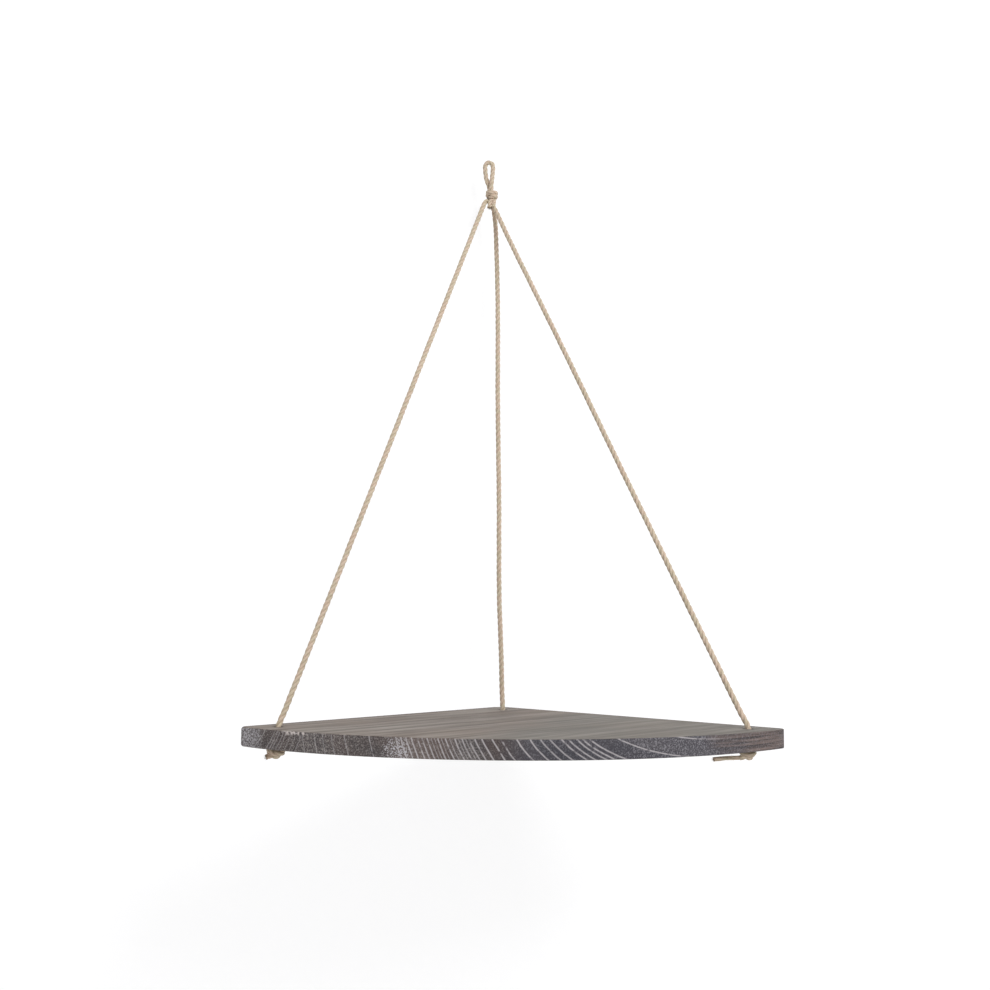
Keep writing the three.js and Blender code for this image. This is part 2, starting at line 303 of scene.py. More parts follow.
print("a strand is %.1f mm thick" % (2 * ROPE_DIAMETER * FULLNESS * STRAND_RADIUS_SHARE / MM))

# %% [markdown]
# Natural rope is never clean: short fibres stand off it everywhere. Each one here is a thin spike
# with three sides, which leaves the rope at a low angle, bends a little and ends in a point. Their
# places come from a random generator with a fixed seed, so every run makes the same fuzz.

# %% Loose fibres
FIBRE_RADIUS = 0.045 * MM
FIBRE_POINTS, FIBRE_SIDES = 4, 3
FIBRE_ROOT, TUFT_ROOTS = 0.46, (0.05, 0.42)
FIBRE_SIZES, FIBRE_LEANS, FIBRE_CURLS = (0.35, 1.0), (0.15, 0.75), (-0.5, 0.5)
FIBRE_BEND, FIBRE_TAPER = 0.6, 0.75
FIBRE_UV = (0.5, 0.0)


def loose_fibres(route, per_metre, longest, seed, diameter=ROPE_DIAMETER, tuft=0):
    """Corners, faces and UV of loose fibres on a rope. A fibre starts just under the rope's surface
    at a random place, runs along the rope, and drifts outwards and sideways with the square of the
    share s of its length. A tuft adds fibres that run on past the route's end, as at a cut."""
    random = np.random.default_rng(seed)
    ahead, first, second = side_directions(route)
    count = int(per_metre * route_length(route)) + tuft
    at = random.integers(1, len(route) - 1, count)
    at[count - tuft:] = len(route) - 1
    angle = random.uniform(0, 2 * np.pi, count)
    out = np.cos(angle)[:, None] * first[at] + np.sin(angle)[:, None] * second[at]
    sideways = np.cross(ahead[at], out)
    sign = random.choice([-1.0, 1.0], count)[:, None]
    sign[count - tuft:] = 1
    depth = np.full(count, FIBRE_ROOT)
    depth[count - tuft:] = random.uniform(*TUFT_ROOTS, tuft)
    size = longest * random.uniform(*FIBRE_SIZES, count)[:, None]
    lean = random.uniform(*FIBRE_LEANS, count)[:, None]
    curl = random.uniform(*FIBRE_CURLS, count)[:, None]
    s = np.linspace(0, 1, FIBRE_POINTS)[None, :, None]
    root = route[at] + depth[:, None] * diameter * out
    drift = FIBRE_BEND * s**2 * (lean * out + curl * sideways)[:, None]
    line = root[:, None] + size[:, None] * (s * (sign * ahead[at])[:, None] + drift)
    thin = FIBRE_RADIUS * (1 - FIBRE_TAPER * s)
    turn = 2 * np.pi * np.arange(FIBRE_SIDES) / FIBRE_SIDES
    ring = (np.cos(turn)[None, None, :, None] * out[:, None, None]
            + np.sin(turn)[None, None, :, None] * sideways[:, None, None])
    corners = line[:, :, None] + thin[..., None] * ring
    base = np.arange(count)[:, None, None] * FIBRE_POINTS * FIBRE_SIDES
    quads = (ring_quads(FIBRE_POINTS, FIBRE_SIDES) + base).reshape(-1, 4)
    tip = (FIBRE_POINTS - 1) * FIBRE_SIDES
    caps = (np.array([[[0, 2, 1], [tip, tip + 1, tip + 2]]]) + base).reshape(-1, 3)
    flip = sign[:, 0] < 0
    quads = np.where(np.repeat(flip, len(quads) // count)[:, None], quads[:, ::-1], quads)
    caps = np.where(np.repeat(flip, 2)[:, None], caps[:, ::-1], caps)
    fibre_uv = [np.zeros((len(block), block.shape[1], 2)) + FIBRE_UV for block in (quads, caps)]
    return corners.reshape(-1, 3), [quads, caps], fibre_uv


def joined(*parts):
    """Several sets of corners, faces and UV as one set."""
    corners, faces, uv, offset = [], [[], []], [[], []], 0
    for part_corners, part_faces, part_uv in parts:
        corners.append(part_corners)
        for kind in range(2):
            faces[kind].append(part_faces[kind] + offset)
            uv[kind].append(part_uv[kind])
        offset += len(part_corners)
    return np.concatenate(corners), [np.concatenate(f) for f in faces], [np.concatenate(t) for t in uv]


print("a loose fibre has", (FIBRE_POINTS - 1) * FIBRE_SIDES + 2, "faces")

# %% [markdown]
# The three legs come first, because the frame checks their length and place. Each route repeats the
# CAD model's: out of the top knot, along a nearly straight run to its hole, and straight down
# through the board. The left leg bends over sharply where it leaves the knot, and the back leg
# strays a few millimetres from a straight line, as it does on the real shelf.

# %% Places shared with the CAD model
KNOT = np.array([3.5, 0.0, -46.0]) * MM
BOARD_CORNER = np.array([21.0, 12.0]) * MM
BOARD_TOP = -697.0 * MM
BOARD_THICKNESS = 20.0 * MM
BOARD_BOTTOM = BOARD_TOP - BOARD_THICKNESS
BOARD_RADIUS = 400.0 * MM
SIDE_HOLE_FROM_STRAIGHT = 31.0 * MM
SIDE_HOLE_FROM_CURVE = 25.5 * MM
BACK_HOLE_FROM_CORNER = 53.0 * MM
HOLE_RADIUS = 5.0 * MM

hole_ring = BOARD_RADIUS - SIDE_HOLE_FROM_CURVE
hole_angle = np.pi / 4 - np.arcsin(SIDE_HOLE_FROM_STRAIGHT / hole_ring)
HOLES = {
    "left": BOARD_CORNER + hole_ring * np.array([-np.sin(hole_angle), -np.cos(hole_angle)]),
    "back": BOARD_CORNER + np.array([0.0, -BACK_HOLE_FROM_CORNER]),
    "right": BOARD_CORNER + hole_ring * np.array([np.sin(hole_angle), -np.cos(hole_angle)]),
}
LEG_STARTS_MM = {
    "left": [[-1, 0.5, -3.4], [-4.2, 0.2, -2.4], [-6.9, -1, -3], [-8.8, -2.6, -6.2], [-10.9, -4.7, -11.5]],
    "back": [[0, 1, -6], [2.2, 2.6, -10], [3.1, 3, -13]],
    "right": [[0.5, -1, -6], [2.0, -2.4, -9.4], [3.6, -4.5, -12.8]],
}
LEG_RUNS = {
    "left": [[0.08, 0], [0.3, 0], [0.6, 0], [0.85, 0], [0.97, 0]],
    "back": [[0.03, 1.9], [0.08, 2.7], [0.2, 3.1], [0.4, 0.9], [0.6, 0.1], [0.78, -1.7], [0.9, -0.6],
             [0.97, -0.4]],
    "right": [[0.08, -0.6], [0.3, 0.1], [0.6, -0.4], [0.85, -0.2], [0.97, 0]],
}
SEAT_GAPS = {"left": 0.6 * MM, "back": 0.3 * MM, "right": 0.6 * MM}
LEG_END_ABOVE_KNOT = 0.3 * MM


def leg_points(side):
    """The points of one leg: the start's points from the knot, then shares of the straight line
    from there to the hole with a small sideways stray in X, then down through the hole."""
    start = KNOT + np.array(LEG_STARTS_MM[side]) * MM
    entry = np.append(HOLES[side], BOARD_TOP)
    runs = np.array(LEG_RUNS[side])
    run = start[-1] + runs[:, :1] * (entry - start[-1])
    run[:, 0] += runs[:, 1] * MM
    below = np.append(HOLES[side], BOARD_BOTTOM + ROPE_DIAMETER)
    bottom = np.append(HOLES[side], BOARD_BOTTOM - SEAT_GAPS[side] + LEG_END_ABOVE_KNOT)
    return np.concatenate([start, run, [entry, below, bottom]])


for side, place in HOLES.items():
    print(side, "hole at %.1f, %.1f mm" % tuple(place / MM))

# %% Legs
FUZZ_PER_METRE = 900
FUZZ_LENGTH = 3.2 * MM
leg_routes, leg_pieces = {}, {}
for seed, side in enumerate(HOLES):
    leg_routes[side] = smooth_route(leg_points(side), ROPE_STEP)
    leg_parts = joined(laid_strands(leg_routes[side]),
                       loose_fibres(leg_routes[side], FUZZ_PER_METRE, FUZZ_LENGTH, seed))
    leg_pieces[side] = new_piece(side + "_leg_rope", *leg_parts)
    print(side, "leg: %.1f mm of rope," % (route_length(leg_routes[side]) / MM),
          len(leg_pieces[side].data.polygons), "faces")

# %% [markdown]
# The loop is one length of rope that goes up in front, round the hook and down behind. Its two ends
# run down into the top knot.

# %% Loop
LOOP_ROUTE_MM = [
    [3.0, -3.1, -41], [2.8, -3.1, -34], [3.0, -3.1, -27.5], [3.9, -2.3, -20], [4.7, -1, -12],
    [5.1, -0.2, -5.5], [4.9, 0, -1.4], [3.3, 0, 1.7], [0, 0, 3], [-3.3, 0, 1.7], [-4.9, 0, -1.4],
    [-5.1, 0.2, -5.5], [-4.4, 1, -12], [-3.1, 2.3, -19], [-0.4, 3.1, -25.5], [1.1, 3.1, -31],
    [2.2, 3.1, -41],
]
LOOP_PITCH = 20 * MM
LOOP_SEED = 11
loop_route = smooth_route(np.array(LOOP_ROUTE_MM) * MM, ROPE_STEP)
loop_piece = new_piece("loop_rope", *joined(
    laid_strands(loop_route, pitch=LOOP_PITCH),
    loose_fibres(loop_route, FUZZ_PER_METRE, FUZZ_LENGTH, LOOP_SEED)))
print("loop: %.1f mm of rope" % (route_length(loop_route) / MM))

# %% [markdown]
# The top knot is two turns of rope round the neck of the loop. Under them the two cut ends of the
# rope stick out side by side and point down, frayed and brown where they were cut. Behind the ends a
# bight of the rope closes the knot, and the legs come out between them. Two short ropes inside the
# turns and a core under them fill the knot, so that nothing can be seen through it.
# The turns round the neck are a helix on an oval, because the neck is two ropes deep and one wide.
# All of these are routes like the others, so they get the same laid strands, with the tighter lay
# that a bent rope shows.

# %% Top knot
COLLAR_HALF_WIDTH, COLLAR_HALF_DEPTH = 5.4, 7.4
COLLAR_PITCH = 4.5
COLLAR_FRONT_HEIGHT = 2.3
COLLAR_FROM, COLLAR_TO = 232, 940
COLLAR_ROWS, COLLAR_TUCK, COLLAR_MIDDLE = 160, 0.5, 0.2
KNOT_ENDS_MM = [
    [[1.2, -1.5, 1], [-0.9, -3.4, -2.5], [-2.1, -4.2, -7], [-2.6, -4.4, -13.0]],
    [[2.4, -1.5, 1], [3.1, -3.2, -2.5], [2.8, -4.2, -7], [2.4, -4.6, -12.6]],
]
BIGHT_MM = [[-3.3, 0.6, 2], [-3.1, 3.0, -2.2], [0.2, 4.4, -4.6], [3.4, 3.0, -2.2], [3.5, 0.6, 2]]
CORE_MM = [[0.6, -0.4, 2], [0.1, -0.4, -4], [0.2, -0.2, -8.4]]
NECK_MM = [[[0, -2.6, 11], [0, -2.9, 1]], [[-0.6, 3.1, 11], [-0.4, 3.3, 1]]]
KNOT_PITCH = 15 * MM
KNOT_STEP = 0.6 * MM
KNOT_FUZZ_PER_METRE = 1200
KNOT_FUZZ_LENGTH = 3 * MM
CUT_SPREAD, CUT_TUFT = 0.3, 60


def tucked(share, depth):
    """One along a turn and less at both ends, where the rope dives inwards: the ends come in by the
    given depth over the first and last eighth, along a quarter of a sine."""
    inwards = np.clip(np.minimum(share, 1 - share) * 8, 0, 1)
    return 1 - depth * (1 - np.sin(np.pi / 2 * inwards))


def collar_turns():
    """A helix on an oval, in mm from the knot's middle; its height rises by the pitch each turn. The
    front is at 270 degrees, where the first turn is at its given height."""
    share = np.linspace(0, 1, COLLAR_ROWS)
    degrees = COLLAR_FROM + (COLLAR_TO - COLLAR_FROM) * share
    angle, reach = np.radians(degrees), tucked(share, COLLAR_TUCK)
    height = COLLAR_FRONT_HEIGHT + COLLAR_PITCH * (degrees - 270) / 360
    return np.stack([COLLAR_MIDDLE + COLLAR_HALF_WIDTH * reach * np.cos(angle),
                     COLLAR_HALF_DEPTH * reach * np.sin(angle), height], axis=1)


def knot_rope(line_mm, open_end=0.0, tuft=0):
    """Laid rope along a line given in mm from the knot's middle, with its loose fibres."""
    route = smooth_route(KNOT + np.array(line_mm) * MM, KNOT_STEP)
    return joined(laid_strands(route, pitch=KNOT_PITCH, diameter=KNOT_ROPE_DIAMETER, open_end=open_end),
                  loose_fibres(route, KNOT_FUZZ_PER_METRE, KNOT_FUZZ_LENGTH, len(route),
                               diameter=KNOT_ROPE_DIAMETER, tuft=tuft))


collar_piece = new_piece("knot_collar", *joined(
    knot_rope(collar_turns()), *[knot_rope(line) for line in NECK_MM]))
lower_piece = new_piece("knot_cut_ends", *joined(
    *[knot_rope(line, CUT_SPREAD, CUT_TUFT) for line in KNOT_ENDS_MM],
    knot_rope(BIGHT_MM), knot_rope(CORE_MM)))
print("top knot:", len(collar_piece.data.polygons) + len(lower_piece.data.polygons), "faces")

# %% [markdown]
# Under the board each rope ends in a stop knot: a plain overhand knot, pulled tight. A tight knot
# is hard to draw by hand, so this one is really pulled tight. It starts as a loose overhand knot,
# whose route is a curve of three polynomials. Then both ends are pulled, again and again in small
# steps. After each pull the links get their length back, and wherever two stretches come closer
# than one rope's width they push each other apart. What is left is a tight knot. The tail beyond it
# is a piece of its own on the same rope, and the right one is long, as on the real shelf.

# %% Stop knots
KNOT_LINKS = 84
LINK_MM = 1.8
ROPE_WIDTH_MM = 5.2
NEIGHBOUR_LINKS = 4
PULL_MM = 0.35
FREE_ROUNDS = 380
BOARD_ROUNDS = 60
STEPS_PER_ROUND = 14
SMOOTHING, STRETCH_FIX, SLIDE_TO_HOLE = 0.06, 0.45, 0.7
TOUCHING = 1.12
TAIL_BEND_LINKS = 6
LINKS_ABOVE = 7


def loose_overhand():
    """The open trefoil x = 3t - t^3, y = t^4 - 4t^2, z = t^5 / 5 - 2t, for t from -2.2 to 2.2, four
    times as large in mm, walked in equal steps with as many points as the knot has links."""
    t = np.linspace(-2.2, 2.2, 1200)
    curve = 4.0 * np.stack([3 * t - t**3, t**4 - 4 * t**2, t**5 / 5 - 2 * t], axis=1)
    return in_points(curve, KNOT_LINKS)


def pulled_tight(chain, tail_pull, rounds, ceiling=None):
    """Pull the first link along tail_pull and the last one straight up. In each round, every link
    moves a little towards the middle of its neighbours, is set back to its length, and is pushed
    away from every link nearer than a rope's width. With a ceiling, the number of the link where
    the rope leaves the knot, the board is there too: links up to that one stay below its underside,
    z = 0, and later ones slide to the axis of the hole, x = y = 0. A link that is pushed by many
    others moves by a mean of the pushes, or else the knot would shake."""
    i, j = np.triu_indices(len(chain), NEIGHBOUR_LINKS)
    pulls = PULL_MM * np.array([unit(np.array(tail_pull, float)), [0, 0, 1]])
    for _ in range(rounds):
        chain[[0, -1]] += pulls
        for _ in range(STEPS_PER_ROUND):
            chain[1:-1] += SMOOTHING * ((chain[:-2] + chain[2:]) / 2 - chain[1:-1])
            link = np.diff(chain, axis=0)
            length = np.linalg.norm(link, axis=1, keepdims=True)
            fix = STRETCH_FIX * (length - LINK_MM) / length * link
            chain[:-1] += fix
            chain[1:] -= fix
            apart = chain[j] - chain[i]
            distance = np.linalg.norm(apart, axis=1)
            near = distance < ROPE_WIDTH_MM
            push = (0.5 * (ROPE_WIDTH_MM / distance[near] - 1))[:, None] * apart[near]
            shift = np.zeros_like(chain)
            crowd = np.ones((len(chain), 1))
            np.add.at(shift, i[near], -push)
            np.add.at(shift, j[near], push)
            np.add.at(crowd, i[near], 0.5)
            np.add.at(crowd, j[near], 0.5)
            chain += shift / crowd
            if ceiling is not None:
                chain[:ceiling, 2] = np.minimum(chain[:ceiling, 2], -ROPE_WIDTH_MM / 2)
                chain[ceiling:, :2] *= SLIDE_TO_HOLE
    return chain


def stop_knot(turn_degrees, pull, lie, tail_length):
    """A tight overhand knot under a board whose underside is z = 0, on a hole at x = y = 0, as
    points from the hole down to the cut end of the tail. The loose knot is turned about Z before
    it is pulled, which chooses the side that it shows. The tail is pulled one way while the knot
    tightens, and then bends over to lie another way. The knot proper reaches from the first link
    that touches another one to the last; a few links above it go up into the hole."""
    turn = np.radians(turn_degrees)
    spin = np.array([[np.cos(turn), np.sin(turn), 0], [-np.sin(turn), np.cos(turn), 0], [0, 0, 1]])
    chain = pulled_tight(loose_overhand() @ spin, pull, FREE_ROUNDS)
    i, j = np.triu_indices(len(chain), NEIGHBOUR_LINKS)
    touching = np.linalg.norm(chain[j] - chain[i], axis=1) < TOUCHING * ROPE_WIDTH_MM
    first, last = i[touching].min(), j[touching].max()
    chain -= chain[last] + [0, 0, ROPE_WIDTH_MM / 2]
    chain = pulled_tight(chain, pull, BOARD_ROUNDS, ceiling=last)
    away = np.arange(int(tail_length / LINK_MM))[:, None] * LINK_MM
    ease = np.clip(away / (TAIL_BEND_LINKS * LINK_MM), 0, 1)
    ahead = unit(chain[first] - chain[first + 2])
    heading = unit((1 - ease) * ahead + ease * unit(np.array(lie, float)))
    tail = chain[first] + np.cumsum(heading * LINK_MM, axis=0) - heading[0] * LINK_MM
    return np.concatenate([chain[first + 1:last + 1 + LINKS_ABOVE][::-1], tail])


STOP_KNOTS = {
    "left": dict(turn_degrees=150, pull=(-1, -0.3, 0.3), lie=(-1, -0.3, -0.6), tail_length=4.0),
    "back": dict(turn_degrees=-60, pull=(1, -0.1, 0.5), lie=(1, -0.7, -0.1), tail_length=14.0),
    "right": dict(turn_degrees=105, pull=(-1, -0.1, 1.0), lie=(-1, -0.08, -0.06), tail_length=30.5),
}
STOP_KNOT_PITCHES = {"left": 22 * MM, "back": 22 * MM, "right": 75 * MM}
STOP_ROPE_DIAMETER = 5.5 * MM
TAIL_DIAMETERS = {"left": 5.5 * MM, "back": 5.5 * MM, "right": 4.6 * MM}
STOP_FUZZ_PER_METRE, STOP_FUZZ_SEED, TAIL_FUZZ_SEED = 1000, 31, 41
TAIL_SPREAD, TAIL_TUFT = 0.2, 50
TAIL_ROOT_MM = 2.0
LEAST_TAIL_ROWS = 8
HIDDEN_ABOVE_MM = 2
stop_pieces, tail_pieces = {}, {}
for seed, side in enumerate(STOP_KNOTS):
    points = stop_knot(**STOP_KNOTS[side])
    points = points[np.argmax(points[:, 2] < HIDDEN_ABOVE_MM):]
    under = np.append(HOLES[side], BOARD_BOTTOM - SEAT_GAPS[side])
    route = even_steps(under + points * MM, KNOT_STEP)
    pitch = STOP_KNOT_PITCHES[side]
    tail_rows = int(round((STOP_KNOTS[side]["tail_length"] - TAIL_ROOT_MM) * MM / KNOT_STEP))
    split = len(route) - max(tail_rows, LEAST_TAIL_ROWS)
    stop_pieces[side] = new_piece(side + "_underside_knot", *joined(
        laid_strands(route, pitch, STOP_ROPE_DIAMETER, rows=slice(0, split + 1)),
        loose_fibres(route[:split], STOP_FUZZ_PER_METRE, KNOT_FUZZ_LENGTH, STOP_FUZZ_SEED + seed)))
    tail_pieces[side] = new_piece(side + "_cut_tail", *joined(
        laid_strands(route, pitch, TAIL_DIAMETERS[side], TAIL_SPREAD, rows=slice(split, None)),
        loose_fibres(route[split:], KNOT_FUZZ_PER_METRE, KNOT_FUZZ_LENGTH, TAIL_FUZZ_SEED + seed,
                     tuft=TAIL_TUFT)))
    print(side, "stop knot and tail: %.0f mm of rope" % (route_length(route) / MM))

# %% [markdown]
# The board is one quarter of a round plate, with its corner to the wall. Its outline is four arcs,
# two straight sides, and nothing else: a small round at each tip, a larger one at the corner, and
# the long front curve. The side of the board is that outline carried up in rings, and the rings
# near the top and bottom move inwards on a quarter circle, which rounds the edge by a millimetre.
# The left tip is worn, so its rounding is larger and fades out along the edge. The three drilled
# holes are made the same way. Each flat face is then filled between the rings.

# %% Board
TIP_RADIUS = 7.0 * MM
CORNER_RADIUS = 16.0 * MM
EDGE_ROUND = 1.1 * MM
LEFT_TIP_ROUND, LEFT_TIP_REACH = 2.9 * MM, 22.0 * MM
HOLE_ROUND = 0.5 * MM
HOLE_POINTS = 40
ROUND_STEPS = 5
INNERMOST_RING = 2.2


def arc(centre, radius, begin_degrees, end_degrees, count):
    """Points on an arc and the directions straight out of it."""
    angle = np.radians(np.linspace(begin_degrees, end_degrees, count))
    out = np.stack([np.cos(angle), np.sin(angle)], axis=1)
    return np.asarray(centre) + radius * out, out


def board_outline():
    """Points and outward directions, anticlockwise seen from above: the corner, the left tip, the
    front curve and the right tip. The straight sides are the steps between them. The curve's own
    ends are left out, because the tips end there."""
    reach = BOARD_RADIUS - TIP_RADIUS
    tip_turn = np.degrees(np.arcsin(TIP_RADIUS / reach))
    tips = [reach * np.array([np.cos(np.radians(a)), np.sin(np.radians(a))])
            for a in (-135 + tip_turn, -45 - tip_turn)]
    parts = [
        arc(BOARD_CORNER - [0, CORNER_RADIUS * np.sqrt(2)], CORNER_RADIUS, 45, 135, 17),
        arc(BOARD_CORNER + tips[0], TIP_RADIUS, 135, 225 + tip_turn, 14),
        arc(BOARD_CORNER, BOARD_RADIUS, -135 + tip_turn, -45 - tip_turn, 260),
        arc(BOARD_CORNER + tips[1], TIP_RADIUS, -45 - tip_turn, 45, 14),
    ]
    parts[2] = (parts[2][0][1:-1], parts[2][1][1:-1])
    return np.concatenate([p[0] for p in parts]), np.concatenate([p[1] for p in parts])


def carried_up(outline, out, rounding):
    """Rings of an outline from the bottom face to the top one. Near each face the ring moves in by
    rounding (1 - sin a) while the height goes by rounding (1 - cos a); the first and last rings
    lie farther in on the face itself, at 2.2 roundings, which keeps the flat face's shading flat."""
    rounding = np.broadcast_to(rounding, len(outline))
    angle = np.linspace(0, np.pi / 2, ROUND_STEPS)
    inwards = np.concatenate([[INNERMOST_RING], 1 - np.sin(angle)])[:, None] * rounding
    height = np.concatenate([[0], 1 - np.cos(angle)])[:, None] * rounding
    inwards = np.concatenate([inwards, inwards[::-1]])
    height = np.concatenate([BOARD_BOTTOM + height, (BOARD_TOP - height)[::-1]])
    flat = outline[None] - inwards[..., None] * out[None]
    return np.concatenate([flat, height[..., None]], axis=2)


def face_fill(rings_flat):
    """Triangles between the outer ring and the holes' rings, and none inside the holes. Delaunay's
    output type 1 keeps what lies inside the outer ring, and its list of original numbers leads
    each new corner back to the ring's."""
    flat = np.concatenate(rings_flat)
    sizes = [len(r) for r in rings_flat]
    starts = np.cumsum([0] + sizes[:-1]).tolist()
    edges = [(s + k, s + (k + 1) % n) for s, n in zip(starts, sizes) for k in range(n)]
    corners, _, faces, originals, _, _ = delaunay_2d_cdt([Vector(p) for p in flat], edges, [], 1, 1e-7)
    assert len(corners) == len(flat)
    triangles = np.array([group[0] for group in originals])[np.array(faces)]
    middle = flat[triangles].mean(axis=1)
    clear = [np.linalg.norm(middle - hole, axis=1) > HOLE_RADIUS for hole in HOLES.values()]
    triangles = triangles[np.all(clear, axis=0)]
    a, b, c = flat[triangles[:, 0]], flat[triangles[:, 1]], flat[triangles[:, 2]]
    turn = (b - a)[:, 0] * (c - a)[:, 1] - (b - a)[:, 1] * (c - a)[:, 0]
    return np.where(turn[:, None] < 0, triangles[:, ::-1], triangles)


outline, outline_out = board_outline()
left_tip = BOARD_CORNER - BOARD_RADIUS * np.sqrt(0.5)
from_tip = np.linalg.norm(outline - left_tip, axis=1)
edge_rounds = EDGE_ROUND + (LEFT_TIP_ROUND - EDGE_ROUND) * np.exp(-(from_tip / LEFT_TIP_REACH) ** 2)
walls = [carried_up(outline, outline_out, edge_rounds)]
for hole in HOLES.values():
    ring, ring_out = arc(hole, HOLE_RADIUS, 360, 360 / HOLE_POINTS, HOLE_POINTS)
    walls.append(carried_up(ring, -ring_out, HOLE_ROUND))
board_corners, board_quads, bottom_rows, top_rows, offset = [], [], [], [], 0
for wall in walls:
    rings, around = wall.shape[:2]
    board_quads.append(offset + ring_quads(rings, around))
    bottom_rows.append(offset + np.arange(around))
    top_rows.append(offset + (rings - 1) * around + np.arange(around))
    board_corners.append(wall.reshape(-1, 3))
    offset += rings * around
board_corners = np.concatenate(board_corners)
board_quads = np.concatenate(board_quads)
bottom_rows, top_rows = np.concatenate(bottom_rows), np.concatenate(top_rows)
fill = face_fill([wall[0, :, :2] for wall in walls])
board_triangles = np.concatenate([bottom_rows[fill[:, ::-1]], top_rows[fill]])
board_piece = new_piece("quarter_round_board", board_corners, [board_quads, board_triangles])
print("board:", len(board_quads) + len(board_triangles), "faces")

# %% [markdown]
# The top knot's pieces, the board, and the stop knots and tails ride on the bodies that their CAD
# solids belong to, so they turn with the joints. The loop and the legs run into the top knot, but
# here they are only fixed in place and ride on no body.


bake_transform(loop_piece)
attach(collar_piece, "knot_top")
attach(lower_piece, "knot_bottom")
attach(board_piece, "board")
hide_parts("hanging_loop")
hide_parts("top_knot_upper")
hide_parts("top_knot_lower")
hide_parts("shelf_board")
for side in HOLES:
    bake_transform(leg_pieces[side])
    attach(stop_pieces[side], "ropes")
    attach(tail_pieces[side], "ropes")
    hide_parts(side + "_rope")
    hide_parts(side + "_stop_knot")
    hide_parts(side + "_rope_tail")
    route = leg_routes[side]
rope_pieces = [loop_piece, collar_piece, lower_piece,
               *leg_pieces.values(), *stop_pieces.values(), *tail_pieces.values()]

# %% [markdown]
# A material is a little network of nodes. These helpers keep the cells short. One adds a node and
# fills its sockets with values or links. The others use it for arithmetic, a soft noise, a mask
# that fades in, a colour ramp, a mix of two colours, a node group and a finished surface.
# Colours are written as they are seen, in sRGB from 0 to 255, and turned into the linear values
# that the renderer counts in.

# %% Node helpers
def colour(red, green, blue):
    """Linear colour: ((c / 255 + 0.055) / 1.055) to the power 2.4."""
    seen = np.array([red, green, blue]) / 255
    return tuple(((seen + 0.055) / 1.055) ** 2.4) + (1.0,)


def add(tree, kind, inputs=None, **settings):
    """Add a node, set its properties, and fill its inputs. A value that is a socket is linked."""
    node = tree.nodes.new(kind)
    for name, value in settings.items():
        setattr(node, name, value)
    for name, value in (inputs or {}).items():
        if isinstance(value, bpy.types.NodeSocket):
            tree.links.new(value, node.inputs[name])
        else:
            node.inputs[name].default_value = value
    return node


def maths(tree, operation, first, second=0.0, third=0.0, clamp=False):
    """One step of arithmetic on values or sockets."""
    inputs = {0: first, 1: second, 2: third}
    return add(tree, "ShaderNodeMath", inputs, operation=operation, use_clamp=clamp).outputs[0]


def over_all(tree, operation, first, *others):
    """One operation carried over several values, such as the product or the greatest of them."""
    for other in others:
        first = maths(tree, operation, first, other)
    return first


def weighed(tree, *terms, start=0.0):
    """The start plus the sum of value times weight over the terms."""
    total = start
    for value, weight in terms:
        total = maths(tree, "MULTIPLY_ADD", value, weight, total)
    return total


def noise(tree, place, scale, detail=2.0, roughness=0.5):
    """Soft noise around one half. Scale is the number of its waves in a metre."""
    inputs = {"Vector": place, "Scale": scale, "Detail": detail, "Roughness": roughness}
    return add(tree, "ShaderNodeTexNoise", inputs).outputs["Fac"]


def fade(tree, value, zero_at, one_at, shape="LINEAR"):
    """A mask that is zero up to one value and one beyond the other; either may be the greater."""
    inputs = {0: value, 1: zero_at, 2: one_at}
    return add(tree, "ShaderNodeMapRange", inputs, interpolation_type=shape).outputs[0]


def ramp(tree, factor, stops):
    """A colour ramp with its stops as (place, colour)."""
    node = add(tree, "ShaderNodeValToRGB", {"Fac": factor})
    while len(node.color_ramp.elements) < len(stops):
        node.color_ramp.elements.new(0.5)
    for element, (place, tint) in zip(node.color_ramp.elements, stops):
        element.position = place
        element.color = tint
    return node.outputs["Color"]


def blended(tree, factor, first, second, share=1.0):
    """Two colours mixed by a factor, which may be lessened by a share. The Mix node also has sockets
    for numbers and vectors: its colours are inputs 6 and 7 and output 2."""
    if share != 1.0:
        factor = maths(tree, "MULTIPLY", factor, share)
    return add(tree, "ShaderNodeMix", {0: factor, 6: first, 7: second}, data_type="RGBA").outputs[2]


def new_group(name, inputs):
    """An empty node group with the given inputs, name by kind, and their sockets inside it."""
    tree = bpy.data.node_groups.new(name, "ShaderNodeTree")
    for label, kind in inputs.items():
        tree.interface.new_socket(name=label, in_out="INPUT", socket_type="NodeSocket" + kind)
    return tree, tree.nodes.new("NodeGroupInput").outputs


def put_out(tree, results):
    """Give a group one output value for each result, name by socket."""
    for label in results:
        tree.interface.new_socket(name=label, in_out="OUTPUT", socket_type="NodeSocketFloat")
    target = tree.nodes.new("NodeGroupOutput").inputs
    for label, value in results.items():
        tree.links.new(value, target[label])


def new_material(name, roughness):
    """An empty material with one Principled shader."""
    material = bpy.data.materials.new(name)
    material.use_nodes = True
    tree = material.node_tree
    shader = tree.nodes["Principled BSDF"]
    shader.inputs["Roughness"].default_value = roughness
    return material, tree, shader


def finish_surface(tree, shader, base_colour, height, depth, strength):
    """Give a shader its colour, and a bump of the given depth from a height between zero and one."""
    bump = add(tree, "ShaderNodeBump", {"Height": height, "Distance": depth, "Strength": strength})
    tree.links.new(base_colour, shader.inputs["Base Color"])
    tree.links.new(bump.outputs[0], shader.inputs["Normal"])


print("a middle grey, written as 128, counts as %.3f" % colour(128, 128, 128)[0])
